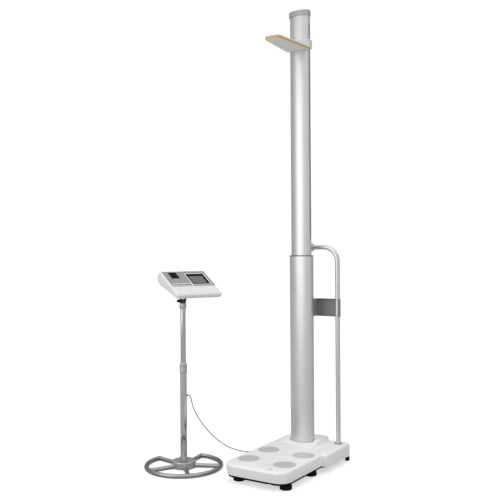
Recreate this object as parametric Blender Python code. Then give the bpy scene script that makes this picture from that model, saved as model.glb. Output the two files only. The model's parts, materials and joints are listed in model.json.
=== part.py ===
"""Electronic physician column scale with a motor-driven height rod and a console on its own stand.

The person faces -Y on the platform. +X is the person's left hand seen from the front, where the handrail is.
All sizes are in metres. Plan positions are measured from the middle of the four foot electrodes, and
heights from the floor. Everything hangs on one empty that moves the middle of the footprint to x = y = 0.
"""
import math

import bmesh
import bpy
from mathutils import Vector

GAP = 0.0003                      # between pieces that touch

# platform
TOP_Z = 0.090                     # standing surface above the floor
PLATFORM_WIDTH = 0.342
FRONT_Y = -0.226
REAR_Y = 0.425
FRONT_RADIUS = 0.064
REAR_RADIUS = 0.018
BLOCK_STEP = 0.024                # how far the handrail's block stands out at the right
BLOCK_FRONT_Y = 0.137
COVER_HEIGHT = 0.053
TOE_RECESS = 0.013                # the front face leans in by this much at its lower edge
COVER_WALL = 0.003
COVER_FILLET = 0.009
BLOCK_DROP = 0.010                # the block's skirt hangs this much lower
FRAME_INSET = 0.0035
FRAME_Z = 0.027                   # underside of the underframe
FRAME_THICKNESS = 0.009
ELECTRODE_RADIUS = 0.0535
ELECTRODE_SPACING_X = 0.199
ELECTRODE_SPACING_Y = 0.184
ELECTRODE_THICKNESS = 0.0018
POCKET_DEPTH = 0.0012
LEVEL_PLACE = (0.080, -0.190)
LEVEL_RADIUS = 0.006
DECK_SIZE = (0.300, 0.370)
DECK_THICKNESS = 0.004
CELL_SIZE = (0.030, 0.120, 0.018)
CELL_WINDOW = 0.0060
CELL_SPREAD = 1.1                 # the cells sit a little outside the electrodes' middles
FOOT_RADIUS = 0.0285
REAR_FOOT_RADIUS = 0.012
FOOT_HEIGHT = 0.020
FOOT_PLACES = ((-0.116, -0.150), (0.138, -0.150), (-0.116, 0.092), (0.138, 0.092))
REAR_FOOT_INSET = (0.014, 0.014)  # from the cover's rear corners

# mound and column
MOUND_RISE = 0.024
MOUND_HALF_WIDTH = 0.100
COLUMN_X = -0.019
COLUMN_REAR_Y = 0.314
LOWER_WIDTH = 0.127
LOWER_SIDE = 0.033                # straight depth of the column's side
LOWER_BULGE = 0.020               # how far the front arches forward
LOWER_TOP = 1.056
UPPER_WIDTH = 0.108
UPPER_SIDE = 0.027
UPPER_BULGE = 0.018
UPPER_BOTTOM = 0.900
UPPER_TOP = 2.306
COLUMN_WALL = 0.003
CORNER_CUT = 0.004                # corners of the column's flat back
HOLE_MARGIN = 0.0025              # between the lower column and the cover's hole
SLOT_WIDTH = 0.006                # side slots for the carriage's arms
SLOT_BOTTOM = 1.150
SLOT_TOP = 2.250
TRIM_HEIGHT = 0.004
CAP_TOP = 2.324
CAP_HEIGHT = 0.030
CAP_OVERHANG = 0.003
SOCKET_TOP = 0.200                # steel socket on the underframe that the column stands on
SOCKET_WALL = 0.004

# drive inside the upper column
BRACKET_Z = 1.085
BRACKET_THICKNESS = 0.004
MOTOR_RADIUS = 0.0135
MOTOR_LENGTH = 0.016
PULLEY_RADIUS = 0.0105
PULLEY_WIDTH = 0.008
IDLER_Z = 2.262
IDLER_BLOCK = 0.010               # half width of the block that holds the idler's axle
BELT_THICKNESS = 0.0012
ROD_RADIUS = 0.0035
ROD_MARGIN = 0.017                # from the column's side to a guide rod's middle
ROD_OFFSET = UPPER_WIDTH / 2 - ROD_MARGIN

# head piece
HEAD_Z = TOP_Z + 2.026            # underside of the head plate at rest
HEAD_THICKNESS = 0.0095
HEAD_COVER = 0.007                # rise of the shell above the plate
COLLAR_HEIGHT = 0.053             # top of the collar above the plate's underside
COLLAR_MARGIN = 0.0008            # running gap round the column
COLLAR_WALL = 0.0085
PADDLE_TIP_Y = 0.004
PADDLE_TIP_HALF = 0.043
PADDLE_CORNER = 0.025
HEAD_BACK_Y = 0.294               # rear edge of the head plate, beside the column's front
HEAD_BACK_CORNERS = (0.012, 0.034)  # right and left
BUMPER_HEIGHT = 0.0075
BUMPER_THICKNESS = 0.0020

# handrail
RAIL_RADIUS = 0.0127
RAIL_X = 0.148
RAIL_Y = 0.376
RAIL_TOP = 1.102                  # axis of the level stretch
RAIL_BEND = 0.075
RAIL_END = -0.020                 # end of the level stretch, from the column's middle
PLATE_BOTTOM = 0.743
PLATE_HEIGHT = 0.092
PLATE_THICKNESS = 0.003
PLATE_LIP = 0.010

# console stand
POLE_X = -0.467
POLE_Y = -0.125
RING_RADIUS = 0.187               # centre line
RING_TUBE = 0.011
SPOKES = 5
SPOKE_RADIUS = 0.0104
FIRST_SPOKE = 98.7                # degrees; the ring is open between the last and the first spoke
HUB_RADIUS = 0.060
HUB_HEIGHT = 0.036
LOWER_POLE_RADIUS = 0.017
LOWER_POLE_TOP = 0.474
POLE_WALL = 0.0020
UPPER_POLE_RADIUS = 0.0135
UPPER_POLE_BOTTOM = 0.385
TWIST_RADIUS = 0.01875
TWIST_HEIGHT = 0.050
HEAD_COLLAR_RADIUS = 0.01775
HEAD_COLLAR_BOTTOM = 0.795
HEAD_COLLAR_HEIGHT = 0.029
CABLE_EXIT_Z = 0.360
CABLE_EXIT_ANGLE = 55.0
CABLE_RADIUS = 0.0025

# console, in its own axes: x to its right, y to its back, z up, from the pole's axis on the floor
CONSOLE_TURN = 64.9               # degrees from the row's +X to the console's x
CONSOLE_SHIFT = 0.016
CONSOLE_HALF = 0.125
CONSOLE_CHAMFER = 0.008
CONSOLE_WALL = 0.0025
TILT_Z = 0.8365
PIN_RADIUS = 0.003                # pin of the tilt hinge
PANEL_SLOPE = 28.1
PANEL_SIZE = (0.236, 0.146)
PANEL_MIDDLE = (-0.0330, 0.9483)  # y and z of the panel's middle, on the case's surface
PANEL_SHEET = 0.0012
SCREEN_MIDDLE = (0.050, -0.004)   # x and y on the panel
SCREEN_SIZE = (0.098, 0.100)
BEZEL_RIM = 0.007
DOOR_MIDDLE = (-0.067, 0.035)
DOOR_SIZE = (0.043, 0.058)
DOOR_THICKNESS = 0.0025
ROLL_RADIUS = 0.016
WELL_DEPTH = 2 * ROLL_RADIUS + 0.007
WELL_WALL = 0.0012
KEYS = 3
KEY_SIZE = (0.014, 0.008)
KEY_PITCH = 0.0250
KEY_ROW_Y = -0.056
KEY_HEIGHT = 0.0035
KEY_TRAVEL = 0.0008

# sockets and the cable's plug
SOCKET_PLACE = (0.318, 0.060)     # y and z of the data socket in the left wall
SOCKET_SIZE = (0.016, 0.012)
INLET_PLACE = (-0.090, 0.062)     # x and z of the power inlet in the rear wall
INLET_RADIUS = 0.006
INLET_BORE = 0.0035
PLUG_LENGTH = 0.030
PLUG_RADIUS = 0.0060

# turns that lay a piece's Z axis along -Y, and along X
FLAT = (math.pi / 2, 0, 0)
ACROSS = (0, math.pi / 2, 0)

# middle of the footprint
MIDDLE_X = (POLE_X - RING_RADIUS - RING_TUBE + PLATFORM_WIDTH / 2 + BLOCK_STEP) / 2
MIDDLE_Y = (POLE_Y - RING_RADIUS - RING_TUBE + REAR_Y) / 2

COLORS = {
    "white_plastic": ((0.86, 0.86, 0.86), 0.45, 0.0),
    "grey_plastic": ((0.55, 0.56, 0.56), 0.5, 0.0),
    "dark_plastic": ((0.05, 0.05, 0.05), 0.5, 0.0),
    "black_rubber": ((0.02, 0.02, 0.02), 0.8, 0.0),
    "black_paint": ((0.03, 0.03, 0.03), 0.5, 0.0),
    "satin_aluminium": ((0.72, 0.73, 0.73), 0.35, 0.9),
    "brushed_steel": ((0.60, 0.60, 0.62), 0.3, 1.0),
    "chrome": ((0.80, 0.80, 0.80), 0.1, 1.0),
    "rail_paint": ((0.62, 0.62, 0.60), 0.4, 0.3),
    "dark_paint": ((0.18, 0.19, 0.18), 0.5, 0.0),
    "orange_rubber": ((0.80, 0.38, 0.06), 0.5, 0.0),
    "screen_glass": ((0.16, 0.17, 0.17), 0.15, 0.0),
    "paper": ((0.90, 0.90, 0.88), 0.8, 0.0),
    "cable_grey": ((0.45, 0.45, 0.45), 0.6, 0.0),
}


def clear_scene():
    for old in list(bpy.data.objects):
        bpy.data.objects.remove(old, do_unlink=True)


def material(name):
    found = bpy.data.materials.get(name)
    if found:
        return found
    color, roughness, metallic = COLORS[name]
    made = bpy.data.materials.new(name)
    made.use_nodes = True
    shader = made.node_tree.nodes["Principled BSDF"]
    shader.inputs["Base Color"].default_value = (*color, 1.0)
    shader.inputs["Roughness"].default_value = roughness
    shader.inputs["Metallic"].default_value = metallic
    return made


def empty(name, place, parent=None, turn=(0, 0, 0)):
    made = bpy.data.objects.new(name, None)
    bpy.context.scene.collection.objects.link(made)
    made.location = place
    made.rotation_euler = turn
    made.parent = parent
    return made


def add(name, shape, look, parent, place=(0, 0, 0), turn=(0, 0, 0), smooth=False):
    """Links a bmesh as one named object."""
    bmesh.ops.recalc_face_normals(shape, faces=shape.faces)
    mesh = bpy.data.meshes.new(name)
    shape.to_mesh(mesh)
    shape.free()
    mesh.materials.append(material(look))
    if smooth:
        mesh.shade_smooth()
        mesh.set_sharp_from_angle(angle=math.radians(35))
    made = bpy.data.objects.new(name, mesh)
    bpy.context.scene.collection.objects.link(made)
    made.location = place
    made.rotation_euler = turn
    made.parent = parent
    return made


def helper(shape, target, operation, parent=None, place=(0, 0, 0), turn=(0, 0, 0)):
    """Cuts a bmesh out of a part, or joins it on, with a Boolean modifier."""
    tool = add(target.name + "_tool", shape, "dark_plastic", parent or target.parent, place, turn)
    tool.hide_render = True
    tool.display_type = "WIRE"
    change = target.modifiers.new(operation.lower(), "BOOLEAN")
    change.operation = operation
    change.object = tool


def cut(target, shape, **where):
    helper(shape, target, "DIFFERENCE", **where)


def join(target, shape, **where):
    helper(shape, target, "UNION", **where)


def loft(loops, closed=False):
    """Skins loops of equal length; the ends are capped, or joined to each other."""
    shape = bmesh.new()
    rows = [[shape.verts.new(point) for point in loop] for loop in loops]
    pairs = list(zip(rows, rows[1:]))
    if closed:
        pairs.append((rows[-1], rows[0]))
    for low, high in pairs:
        count = len(low)
        for i in range(count):
            j = (i + 1) % count
            shape.faces.new((low[i], low[j], high[j], high[i]))
    if not closed:
        shape.faces.new(rows[0])
        shape.faces.new(rows[-1])
    return shape


def level(outline, z):
    return [(x, y, z) for x, y in outline]


def prism(outline, low, high):
    return loft([level(outline, low), level(outline, high)])


def ring_prism(outer, inner, low, high):
    loops = [level(outer, low), level(outer, high), level(inner, high), level(inner, low)]
    return loft(loops, closed=True)


def box(low, high):
    outline = [(low[0], low[1]), (high[0], low[1]), (high[0], high[1]), (low[0], high[1])]
    return prism(outline, low[2], high[2])


def arc(middle, radius, start, end, steps):
    """Points on an arc, angles in degrees."""
    points = []
    for i in range(steps + 1):
        angle = math.radians(start + (end - start) * i / steps)
        points.append((middle[0] + radius * math.cos(angle), middle[1] + radius * math.sin(angle)))
    return points


def circle(radius, sides, middle=(0, 0)):
    return arc(middle, radius, 0, 360 * (sides - 1) / sides, sides - 1)


def turned(profile, sides):
    """Solid of revolution about Z from (radius, height) points, top to bottom or bottom to top."""
    return loft([level(circle(radius, sides), z) for radius, z in profile])


def turned_ring(profile, sides):
    return loft([level(circle(radius, sides), z) for radius, z in profile], closed=True)


def sweep(points, radius, sides, up=Vector((0, 0, 1))):
    """Round bar along points, mitred at each one."""
    path = [Vector(point) for point in points]
    loops = []
    for i, point in enumerate(path):
        before = (path[i] - path[i - 1]).normalized() if i else None
        after = (path[i + 1] - path[i]).normalized() if i < len(path) - 1 else None
        if before and after:
            along = (before + after).normalized()
            stretch = 1 / max(along.dot(after), 0.5)
        else:
            along = before or after
            stretch = 1
        side = along.cross(up).normalized()
        rise = side.cross(along).normalized()
        loops.append([point + side * radius * stretch * math.cos(a) + rise * radius * math.sin(a)
                      for a in (2 * math.pi * k / sides for k in range(sides))])
    return loft(loops)


def offset_convex(outline, inset):
    """Moves each edge of a convex outline inwards (outline anticlockwise)."""
    moved = []
    count = len(outline)
    for i in range(count):
        before, here, after = (Vector(outline[k % count]) for k in (i - 1, i, i + 1))
        first = (here - before).normalized()
        second = (after - here).normalized()
        inward_a = Vector((-first.y, first.x))
        inward_b = Vector((-second.y, second.x))
        middle = (inward_a + inward_b).normalized()
        moved.append(tuple(here + middle * inset / middle.dot(inward_b)))
    return moved


def column_outline(width, side, bulge, inset=0.0):
    """D section of the column: flat back with small corners and an arched front, anticlockwise."""
    half = width / 2
    corner_y = COLUMN_REAR_Y - side
    rise_radius = (half * half + bulge * bulge) / (2 * bulge)
    sweep_angle = math.degrees(math.asin(half / rise_radius))
    front = arc((0, corner_y - bulge + rise_radius), rise_radius, -90 - sweep_angle, -90 + sweep_angle, 10)
    rear = [(half, COLUMN_REAR_Y - CORNER_CUT), (half - CORNER_CUT, COLUMN_REAR_Y),
            (-half + CORNER_CUT, COLUMN_REAR_Y), (-half, COLUMN_REAR_Y - CORNER_CUT)]
    outline = [(COLUMN_X + x, y) for x, y in front + rear]
    return offset_convex(outline, inset) if inset else outline


def lower_section(inset=0.0):
    return column_outline(LOWER_WIDTH, LOWER_SIDE, LOWER_BULGE, inset)


def upper_section(inset=0.0):
    margin = (LOWER_SIDE - UPPER_SIDE) / 2
    section = column_outline(UPPER_WIDTH, UPPER_SIDE, UPPER_BULGE, inset)
    return [(x, y - margin) for x, y in section]


def toe_recess(z):
    """How far the front face leans in at a height."""
    lean = TOP_Z - COVER_FILLET - z
    return TOE_RECESS * max(lean, 0) / (COVER_HEIGHT - COVER_FILLET)


def platform_outline(inset, recess=0.0):
    """Plan of the platform's cover with the handrail's block at its right rear, anticlockwise."""
    front = FRONT_Y + recess + FRONT_RADIUS
    half = PLATFORM_WIDTH / 2
    right = half + BLOCK_STEP
    ease = BLOCK_STEP / 2
    points = arc((-half + FRONT_RADIUS, front), FRONT_RADIUS - inset, 180, 270, 6)
    points += arc((half - FRONT_RADIUS, front), FRONT_RADIUS - inset, 270, 360, 6)
    points += arc((half + ease, BLOCK_FRONT_Y), ease + inset, 180, 90, 3)
    points += arc((right - ease, BLOCK_FRONT_Y + 2 * ease), ease - inset, 270, 360, 3)[1:]
    points += arc((right - REAR_RADIUS, REAR_Y - REAR_RADIUS), REAR_RADIUS - inset, 0, 90, 3)
    points += arc((-half + REAR_RADIUS, REAR_Y - REAR_RADIUS), REAR_RADIUS - inset, 90, 180, 3)
    return points


def skirt_drop(x):
    """The block's skirt is lower than the rest of the cover's."""
    return BLOCK_DROP * min(max((x - PLATFORM_WIDTH / 2) / (BLOCK_STEP / 2), 0), 1)


def platform_solid(inset, skirt_extra):
    """The platform's outer form, or with an inset the hollow inside it."""
    top = TOP_Z - inset
    fillet = max(COVER_FILLET - inset, 0.001)
    skirt = TOP_Z - COVER_HEIGHT - skirt_extra
    low = [(x, y, skirt - skirt_drop(x)) for x, y in platform_outline(inset, toe_recess(skirt))]
    loops = [low]
    for angle in (0, 30, 60, 90):
        turn = math.radians(angle)
        inner = platform_outline(inset + fillet * (1 - math.cos(turn)))
        loops.append(level(inner, top - fillet + fillet * math.sin(turn)))
    return loft(loops)


def mound_solid(inset):
    """Raised foot of the column: a ramp in front and steep sides."""
    profile = [(0.196, 0.0), (0.225, 0.0035), (0.262, 0.011), (0.300, 0.0205), (0.330, 0.0265), (0.345, 1),
               (0.396, 1), (0.404, 0.024), (0.409, 0.0)]
    root = -COVER_WALL - inset - 0.001
    rows = [(profile[0][0] + inset, root)]
    rows += [(y + (inset if y < 0.35 else -inset), min(h, MOUND_RISE) - inset) for y, h in profile]
    rows.append((profile[-1][0] - inset, root))
    loops = []
    for side in (-1, 1):
        loop = []
        for y, rise in rows:
            half = MOUND_HALF_WIDTH - inset - 0.35 * max(rise, 0)
            loop.append((COLUMN_X + side * half, y, TOP_Z + rise))
        loops.append(loop)
    return loft(loops)


def build_platform(row):
    tray_form = platform_outline(FRAME_INSET, TOE_RECESS)
    tray = add("underframe", prism(tray_form, FRAME_Z, FRAME_Z + FRAME_THICKNESS), "black_paint", row)
    notch_x = LEVEL_PLACE[0] + 0.004
    front = FRONT_Y + TOE_RECESS + FRAME_INSET
    cut(tray, box((notch_x - 0.007, front - 0.01, FRAME_Z - 0.01), (notch_x + 0.007, front + 0.006, TOP_Z)))
    shrink = COLUMN_WALL + GAP
    middle = FRAME_Z + FRAME_THICKNESS / 2
    join(tray, prism(lower_section(shrink), middle, SOCKET_TOP))
    inner = shrink + SOCKET_WALL
    half = LOWER_WIDTH / 2 - inner
    cut(tray, box((COLUMN_X - half, COLUMN_REAR_Y - LOWER_SIDE, middle),
                  (COLUMN_X + half, COLUMN_REAR_Y - inner, SOCKET_TOP + 0.01)))

    cover = add("platform_cover", platform_solid(0, 0), "white_plastic", row, smooth=True)
    join(cover, mound_solid(0))
    cut(cover, platform_solid(COVER_WALL, 0.01))
    cut(cover, mound_solid(COVER_WALL))
    hole = lower_section(-HOLE_MARGIN)
    cut(cover, prism(hole, TOP_Z - 0.02, TOP_Z + 2 * MOUND_RISE))
    cut(cover, prism(circle(RAIL_RADIUS + 2 * GAP, 20, (RAIL_X, RAIL_Y)), TOP_Z - 0.02, TOP_Z + 0.02))
    half_x, half_z = SOCKET_SIZE[0] / 2 + GAP, SOCKET_SIZE[1] / 2 + GAP
    left = -PLATFORM_WIDTH / 2
    cut(cover, box((left - 0.01, SOCKET_PLACE[0] - half_x, SOCKET_PLACE[1] - half_z),
                   (left + 0.01, SOCKET_PLACE[0] + half_x, SOCKET_PLACE[1] + half_z)))
    inlet = (INLET_PLACE[0], REAR_Y, INLET_PLACE[1])
    cut(cover, prism(circle(INLET_RADIUS + GAP, 16), -0.01, 0.01), place=inlet, turn=FLAT)

    pocket_z = TOP_Z - POCKET_DEPTH
    number = 0
    for side_y in (-1, 1):
        for side_x in (-1, 1):
            number += 1
            place = (side_x * ELECTRODE_SPACING_X / 2, side_y * ELECTRODE_SPACING_Y / 2)
            cut(cover, prism(circle(ELECTRODE_RADIUS + GAP, 32, place), pocket_z, TOP_Z + 0.01))
            radius = ELECTRODE_RADIUS
            base = pocket_z + GAP
            rise = ELECTRODE_THICKNESS
            disc = turned([(radius, 0), (radius, rise - 0.0006), (radius - 0.0010, rise)], 32)
            add("electrode_%d" % number, disc, "brushed_steel", row, (*place, base), smooth=True)
            build_load_cell(row, number, place[0] * CELL_SPREAD, place[1])
    deck_z = FRAME_Z + FRAME_THICKNESS + CELL_SIZE[2] + 2 * GAP
    half_x, half_y = DECK_SIZE[0] / 2, DECK_SIZE[1] / 2
    add("deck_plate", box((-half_x, -half_y, deck_z), (half_x, half_y, deck_z + DECK_THICKNESS)),
        "brushed_steel", row)
    cut(cover, prism(circle(LEVEL_RADIUS + GAP, 20, LEVEL_PLACE), pocket_z - 0.001, TOP_Z + 0.01))
    vial = turned([(LEVEL_RADIUS, 0), (LEVEL_RADIUS, 0.0016), (LEVEL_RADIUS - 0.0012, 0.0024)], 20)
    add("level_vial", vial, "grey_plastic", row, (*LEVEL_PLACE, pocket_z - 0.001 + GAP), smooth=True)


def build_load_cell(row, number, x, y):
    """A bending beam with a round window through its middle."""
    width, length, height = CELL_SIZE
    low = FRAME_Z + FRAME_THICKNESS + GAP
    bar = box((-width / 2, -length / 2, 0), (width / 2, length / 2, height))
    beam = add("load_cell_%d" % number, bar, "satin_aluminium", row, (x, y, low))
    window = prism(circle(CELL_WINDOW, 12), -width, width)
    cut(beam, window, place=(x, y, low + height / 2), turn=ACROSS)


def foot_profile(radius):
    stem = min(0.006, radius * 0.5)
    edge = 0.0025
    top = FRAME_Z - GAP
    return [(radius - edge, 0), (radius, edge), (radius, FOOT_HEIGHT - edge), (radius - edge, FOOT_HEIGHT),
            (stem, FOOT_HEIGHT), (stem, top)]


def build_feet(row):
    for number, place in enumerate(FOOT_PLACES, 1):
        add("foot_%d" % number, turned(foot_profile(FOOT_RADIUS), 20), "black_rubber", row, (*place, 0),
            smooth=True)
    rear_y = REAR_Y - REAR_FOOT_INSET[1]
    rear_xs = (-PLATFORM_WIDTH / 2 + REAR_FOOT_INSET[0], PLATFORM_WIDTH / 2 + BLOCK_STEP - REAR_FOOT_INSET[0])
    for number, x in enumerate(rear_xs, 1):
        add("rear_foot_%d" % number, turned(foot_profile(REAR_FOOT_RADIUS), 16), "black_rubber", row,
            (x, rear_y, 0), smooth=True)


def build_sockets(row):
    """Data socket in the left wall and power inlet in the rear wall."""
    half_y, half_z = SOCKET_SIZE[0] / 2, SOCKET_SIZE[1] / 2
    outer = -PLATFORM_WIDTH / 2
    y, z = SOCKET_PLACE
    socket = box((outer, y - half_y, z - half_z), (outer + 0.016, y + half_y, z + half_z))
    add("data_socket", socket, "dark_plastic", row)
    depth = 0.014
    inlet = turned_ring([(INLET_RADIUS, 0), (INLET_RADIUS, depth), (INLET_BORE, depth), (INLET_BORE, 0)], 16)
    add("power_inlet", inlet, "dark_plastic", row, (INLET_PLACE[0], REAR_Y, INLET_PLACE[1]), FLAT)


def build_column(row):
    floor = FRAME_Z + FRAME_THICKNESS + GAP
    add("lower_column", ring_prism(lower_section(), lower_section(COLUMN_WALL), floor, LOWER_TOP),
        "satin_aluminium", row, smooth=True)
    seal = ring_prism(lower_section(-HOLE_MARGIN + GAP), lower_section(-GAP), TOP_Z - 0.010, TOP_Z + 0.0075)
    add("base_seal", seal, "black_rubber", row)
    trim_low = LOWER_TOP + GAP
    trim_inner = upper_section(-GAP)
    add("joint_trim", ring_prism(lower_section(), trim_inner, trim_low, trim_low + TRIM_HEIGHT),
        "dark_plastic", row)

    tube = ring_prism(upper_section(), upper_section(COLUMN_WALL), UPPER_BOTTOM, UPPER_TOP)
    upper = add("upper_column", tube, "satin_aluminium", row, smooth=True)
    slot_y = slot_middle()
    cut(upper, box((COLUMN_X - UPPER_WIDTH, slot_y - SLOT_WIDTH / 2, SLOT_BOTTOM),
                   (COLUMN_X + UPPER_WIDTH, slot_y + SLOT_WIDTH / 2, SLOT_TOP)))

    lip = CAP_TOP - CAP_HEIGHT
    outer = upper_section(-CAP_OVERHANG)
    cap = add("top_cap", loft([level(outer, lip), level(outer, CAP_TOP - 0.003),
                               level(upper_section(-CAP_OVERHANG + 0.003), CAP_TOP)]),
              "grey_plastic", row, smooth=True)
    cut(cap, prism(upper_section(-GAP), lip - 0.01, UPPER_TOP + GAP))


def slot_middle():
    ys = [y for _, y in upper_section()]
    return max(ys) - UPPER_SIDE / 2


def drive_y():
    """Front and back faces of the belt's lane, in front of the carriage."""
    front = min(y for _, y in upper_section(COLUMN_WALL))
    return front + 0.006, front + 0.006 + PULLEY_WIDTH


def build_drive(row):
    lane_front, lane_back = drive_y()
    behind = lane_back + 0.001
    rear = max(y for _, y in upper_section(COLUMN_WALL)) - 0.002
    inner = upper_section(COLUMN_WALL + GAP)
    top_plate = SLOT_TOP + 0.038
    frame = add("drive_frame", prism(inner, BRACKET_Z, BRACKET_Z + BRACKET_THICKNESS), "brushed_steel", row)
    join(frame, prism(inner, top_plate, top_plate + BRACKET_THICKNESS))
    for side in (-1, 1):
        join(frame, prism(circle(ROD_RADIUS, 12, (COLUMN_X + side * ROD_OFFSET, slot_middle())),
                          BRACKET_Z + 0.001, top_plate + 0.001))
    join(frame, box((COLUMN_X - IDLER_BLOCK, behind, IDLER_Z - IDLER_BLOCK),
                    (COLUMN_X + IDLER_BLOCK, rear, top_plate + 0.001)))
    motor_z = BRACKET_Z + BRACKET_THICKNESS + MOTOR_RADIUS + GAP
    shaft = 0.0025
    motor = turned_ring([(MOTOR_RADIUS, 0), (MOTOR_RADIUS, MOTOR_LENGTH), (shaft + 2 * GAP, MOTOR_LENGTH),
                         (shaft + 2 * GAP, 0)], 20)
    motor_back = behind + MOTOR_LENGTH
    add("drive_motor", motor, "dark_plastic", row, (COLUMN_X, motor_back, motor_z), FLAT, smooth=True)
    reach = MOTOR_LENGTH + 0.001
    rim = PULLEY_RADIUS + 0.0015
    flange = 0.0008
    for name, z, stub in (("drive_pulley", motor_z, reach), ("idler_pulley", IDLER_Z, 0.006)):
        profile = [(shaft, -stub), (shaft, 0), (rim, 0), (rim, flange), (PULLEY_RADIUS, flange),
                   (PULLEY_RADIUS, PULLEY_WIDTH - flange), (rim, PULLEY_WIDTH - flange), (rim, PULLEY_WIDTH)]
        add(name, turned(profile, 20), "brushed_steel", row, (COLUMN_X, lane_back, z), FLAT, smooth=True)
    axle = (COLUMN_X, lane_back, IDLER_Z)
    cut(frame, prism(circle(shaft + 2 * GAP, 12), -0.02, 0.02), place=axle, turn=FLAT)

    def belt_loop(radius):
        low = arc((COLUMN_X, motor_z), radius, 180, 360, 10)
        high = arc((COLUMN_X, IDLER_Z), radius, 0, 180, 10)
        return low + high

    near = PULLEY_RADIUS + GAP
    far = near + BELT_THICKNESS
    front = lane_front + 1.5 * flange
    back = lane_back - 1.5 * flange
    corners = ((front, near), (back, near), (back, far), (front, far))
    belt = loft([[(x, y, z) for x, z in belt_loop(radius)] for y, radius in corners], closed=True)
    add("drive_belt", belt, "black_rubber", row)


def head_outline(grow):
    """Plan of the head plate: a paddle that tapers forward from the column's front corners."""
    wide = UPPER_WIDTH / 2 + COLLAR_MARGIN + COLLAR_WALL + grow
    rear = []
    for side, start, round_off in ((1, 0, HEAD_BACK_CORNERS[0]), (-1, 90, HEAD_BACK_CORNERS[1])):
        round_off += grow
        spot = (COLUMN_X + side * (wide - round_off), HEAD_BACK_Y + grow - round_off)
        rear += arc(spot, round_off, start, start + 90, 4)
    half = PADDLE_TIP_HALF + grow
    corner = PADDLE_CORNER + grow
    tip = PADDLE_TIP_Y - grow
    left = arc((COLUMN_X - half + corner, tip + corner), corner, 195, 270, 5)
    right = arc((COLUMN_X + half - corner, tip + corner), corner, 270, 345, 5)
    return rear + left + right


def build_head(row):
    low = HEAD_Z
    inner_plain = upper_section(-COLLAR_MARGIN)
    step = BUMPER_THICKNESS + GAP
    lip = low + 0.001
    plate = add("head_plate", prism(head_outline(-step), low, low + HEAD_THICKNESS), "grey_plastic", row)
    cut(plate, prism(inner_plain, low - 0.02, low + 0.1))
    plate_top = low + HEAD_THICKNESS + GAP
    bumper = add("head_bumper", prism(head_outline(0), lip, lip + BUMPER_HEIGHT), "orange_rubber", row)
    cut(bumper, prism(head_outline(-BUMPER_THICKNESS), low - 0.01, low + 0.05))
    cut(bumper, prism(inner_plain, low - 0.02, low + 0.1))
    shell = head_outline(-GAP)
    cover_top = plate_top + HEAD_COVER
    rim = level(shell, cover_top - 0.002)
    shape = loft([level(shell, plate_top), rim, level(head_outline(-0.003), cover_top)])
    cover = add("head_collar", shape, "grey_plastic", row, smooth=True)
    grown = upper_section(-COLLAR_MARGIN - COLLAR_WALL)
    eased = upper_section(-COLLAR_MARGIN - COLLAR_WALL + 0.003)
    top = low + COLLAR_HEIGHT
    join(cover, loft([level(grown, plate_top + 0.001), level(grown, top - 0.003), level(eased, top)]))
    cut(cover, prism(inner_plain, low - 0.02, low + 0.1))

    behind = drive_y()[1] + 0.001
    middle = slot_middle()
    inside = ROD_OFFSET + 0.008
    back = max(y for _, y in upper_section(COLUMN_WALL)) - CORNER_CUT + 0.001
    block_low = low + 0.010
    block_high = low + 0.040
    block = box((COLUMN_X - inside, behind, block_low), (COLUMN_X + inside, back, block_high))
    carriage = add("carriage", block, "dark_plastic", row)
    arm = UPPER_WIDTH / 2 + COLLAR_MARGIN - GAP
    thick = SLOT_WIDTH / 2 - GAP
    join(carriage, box((COLUMN_X - arm, middle - thick, block_low + 0.004),
                       (COLUMN_X + arm, middle + thick, block_high - 0.004)))
    for side in (-1, 1):
        cut(carriage, prism(circle(ROD_RADIUS + GAP, 12, (COLUMN_X + side * ROD_OFFSET, middle)),
                            block_low - 0.01, block_high + 0.01))


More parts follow.
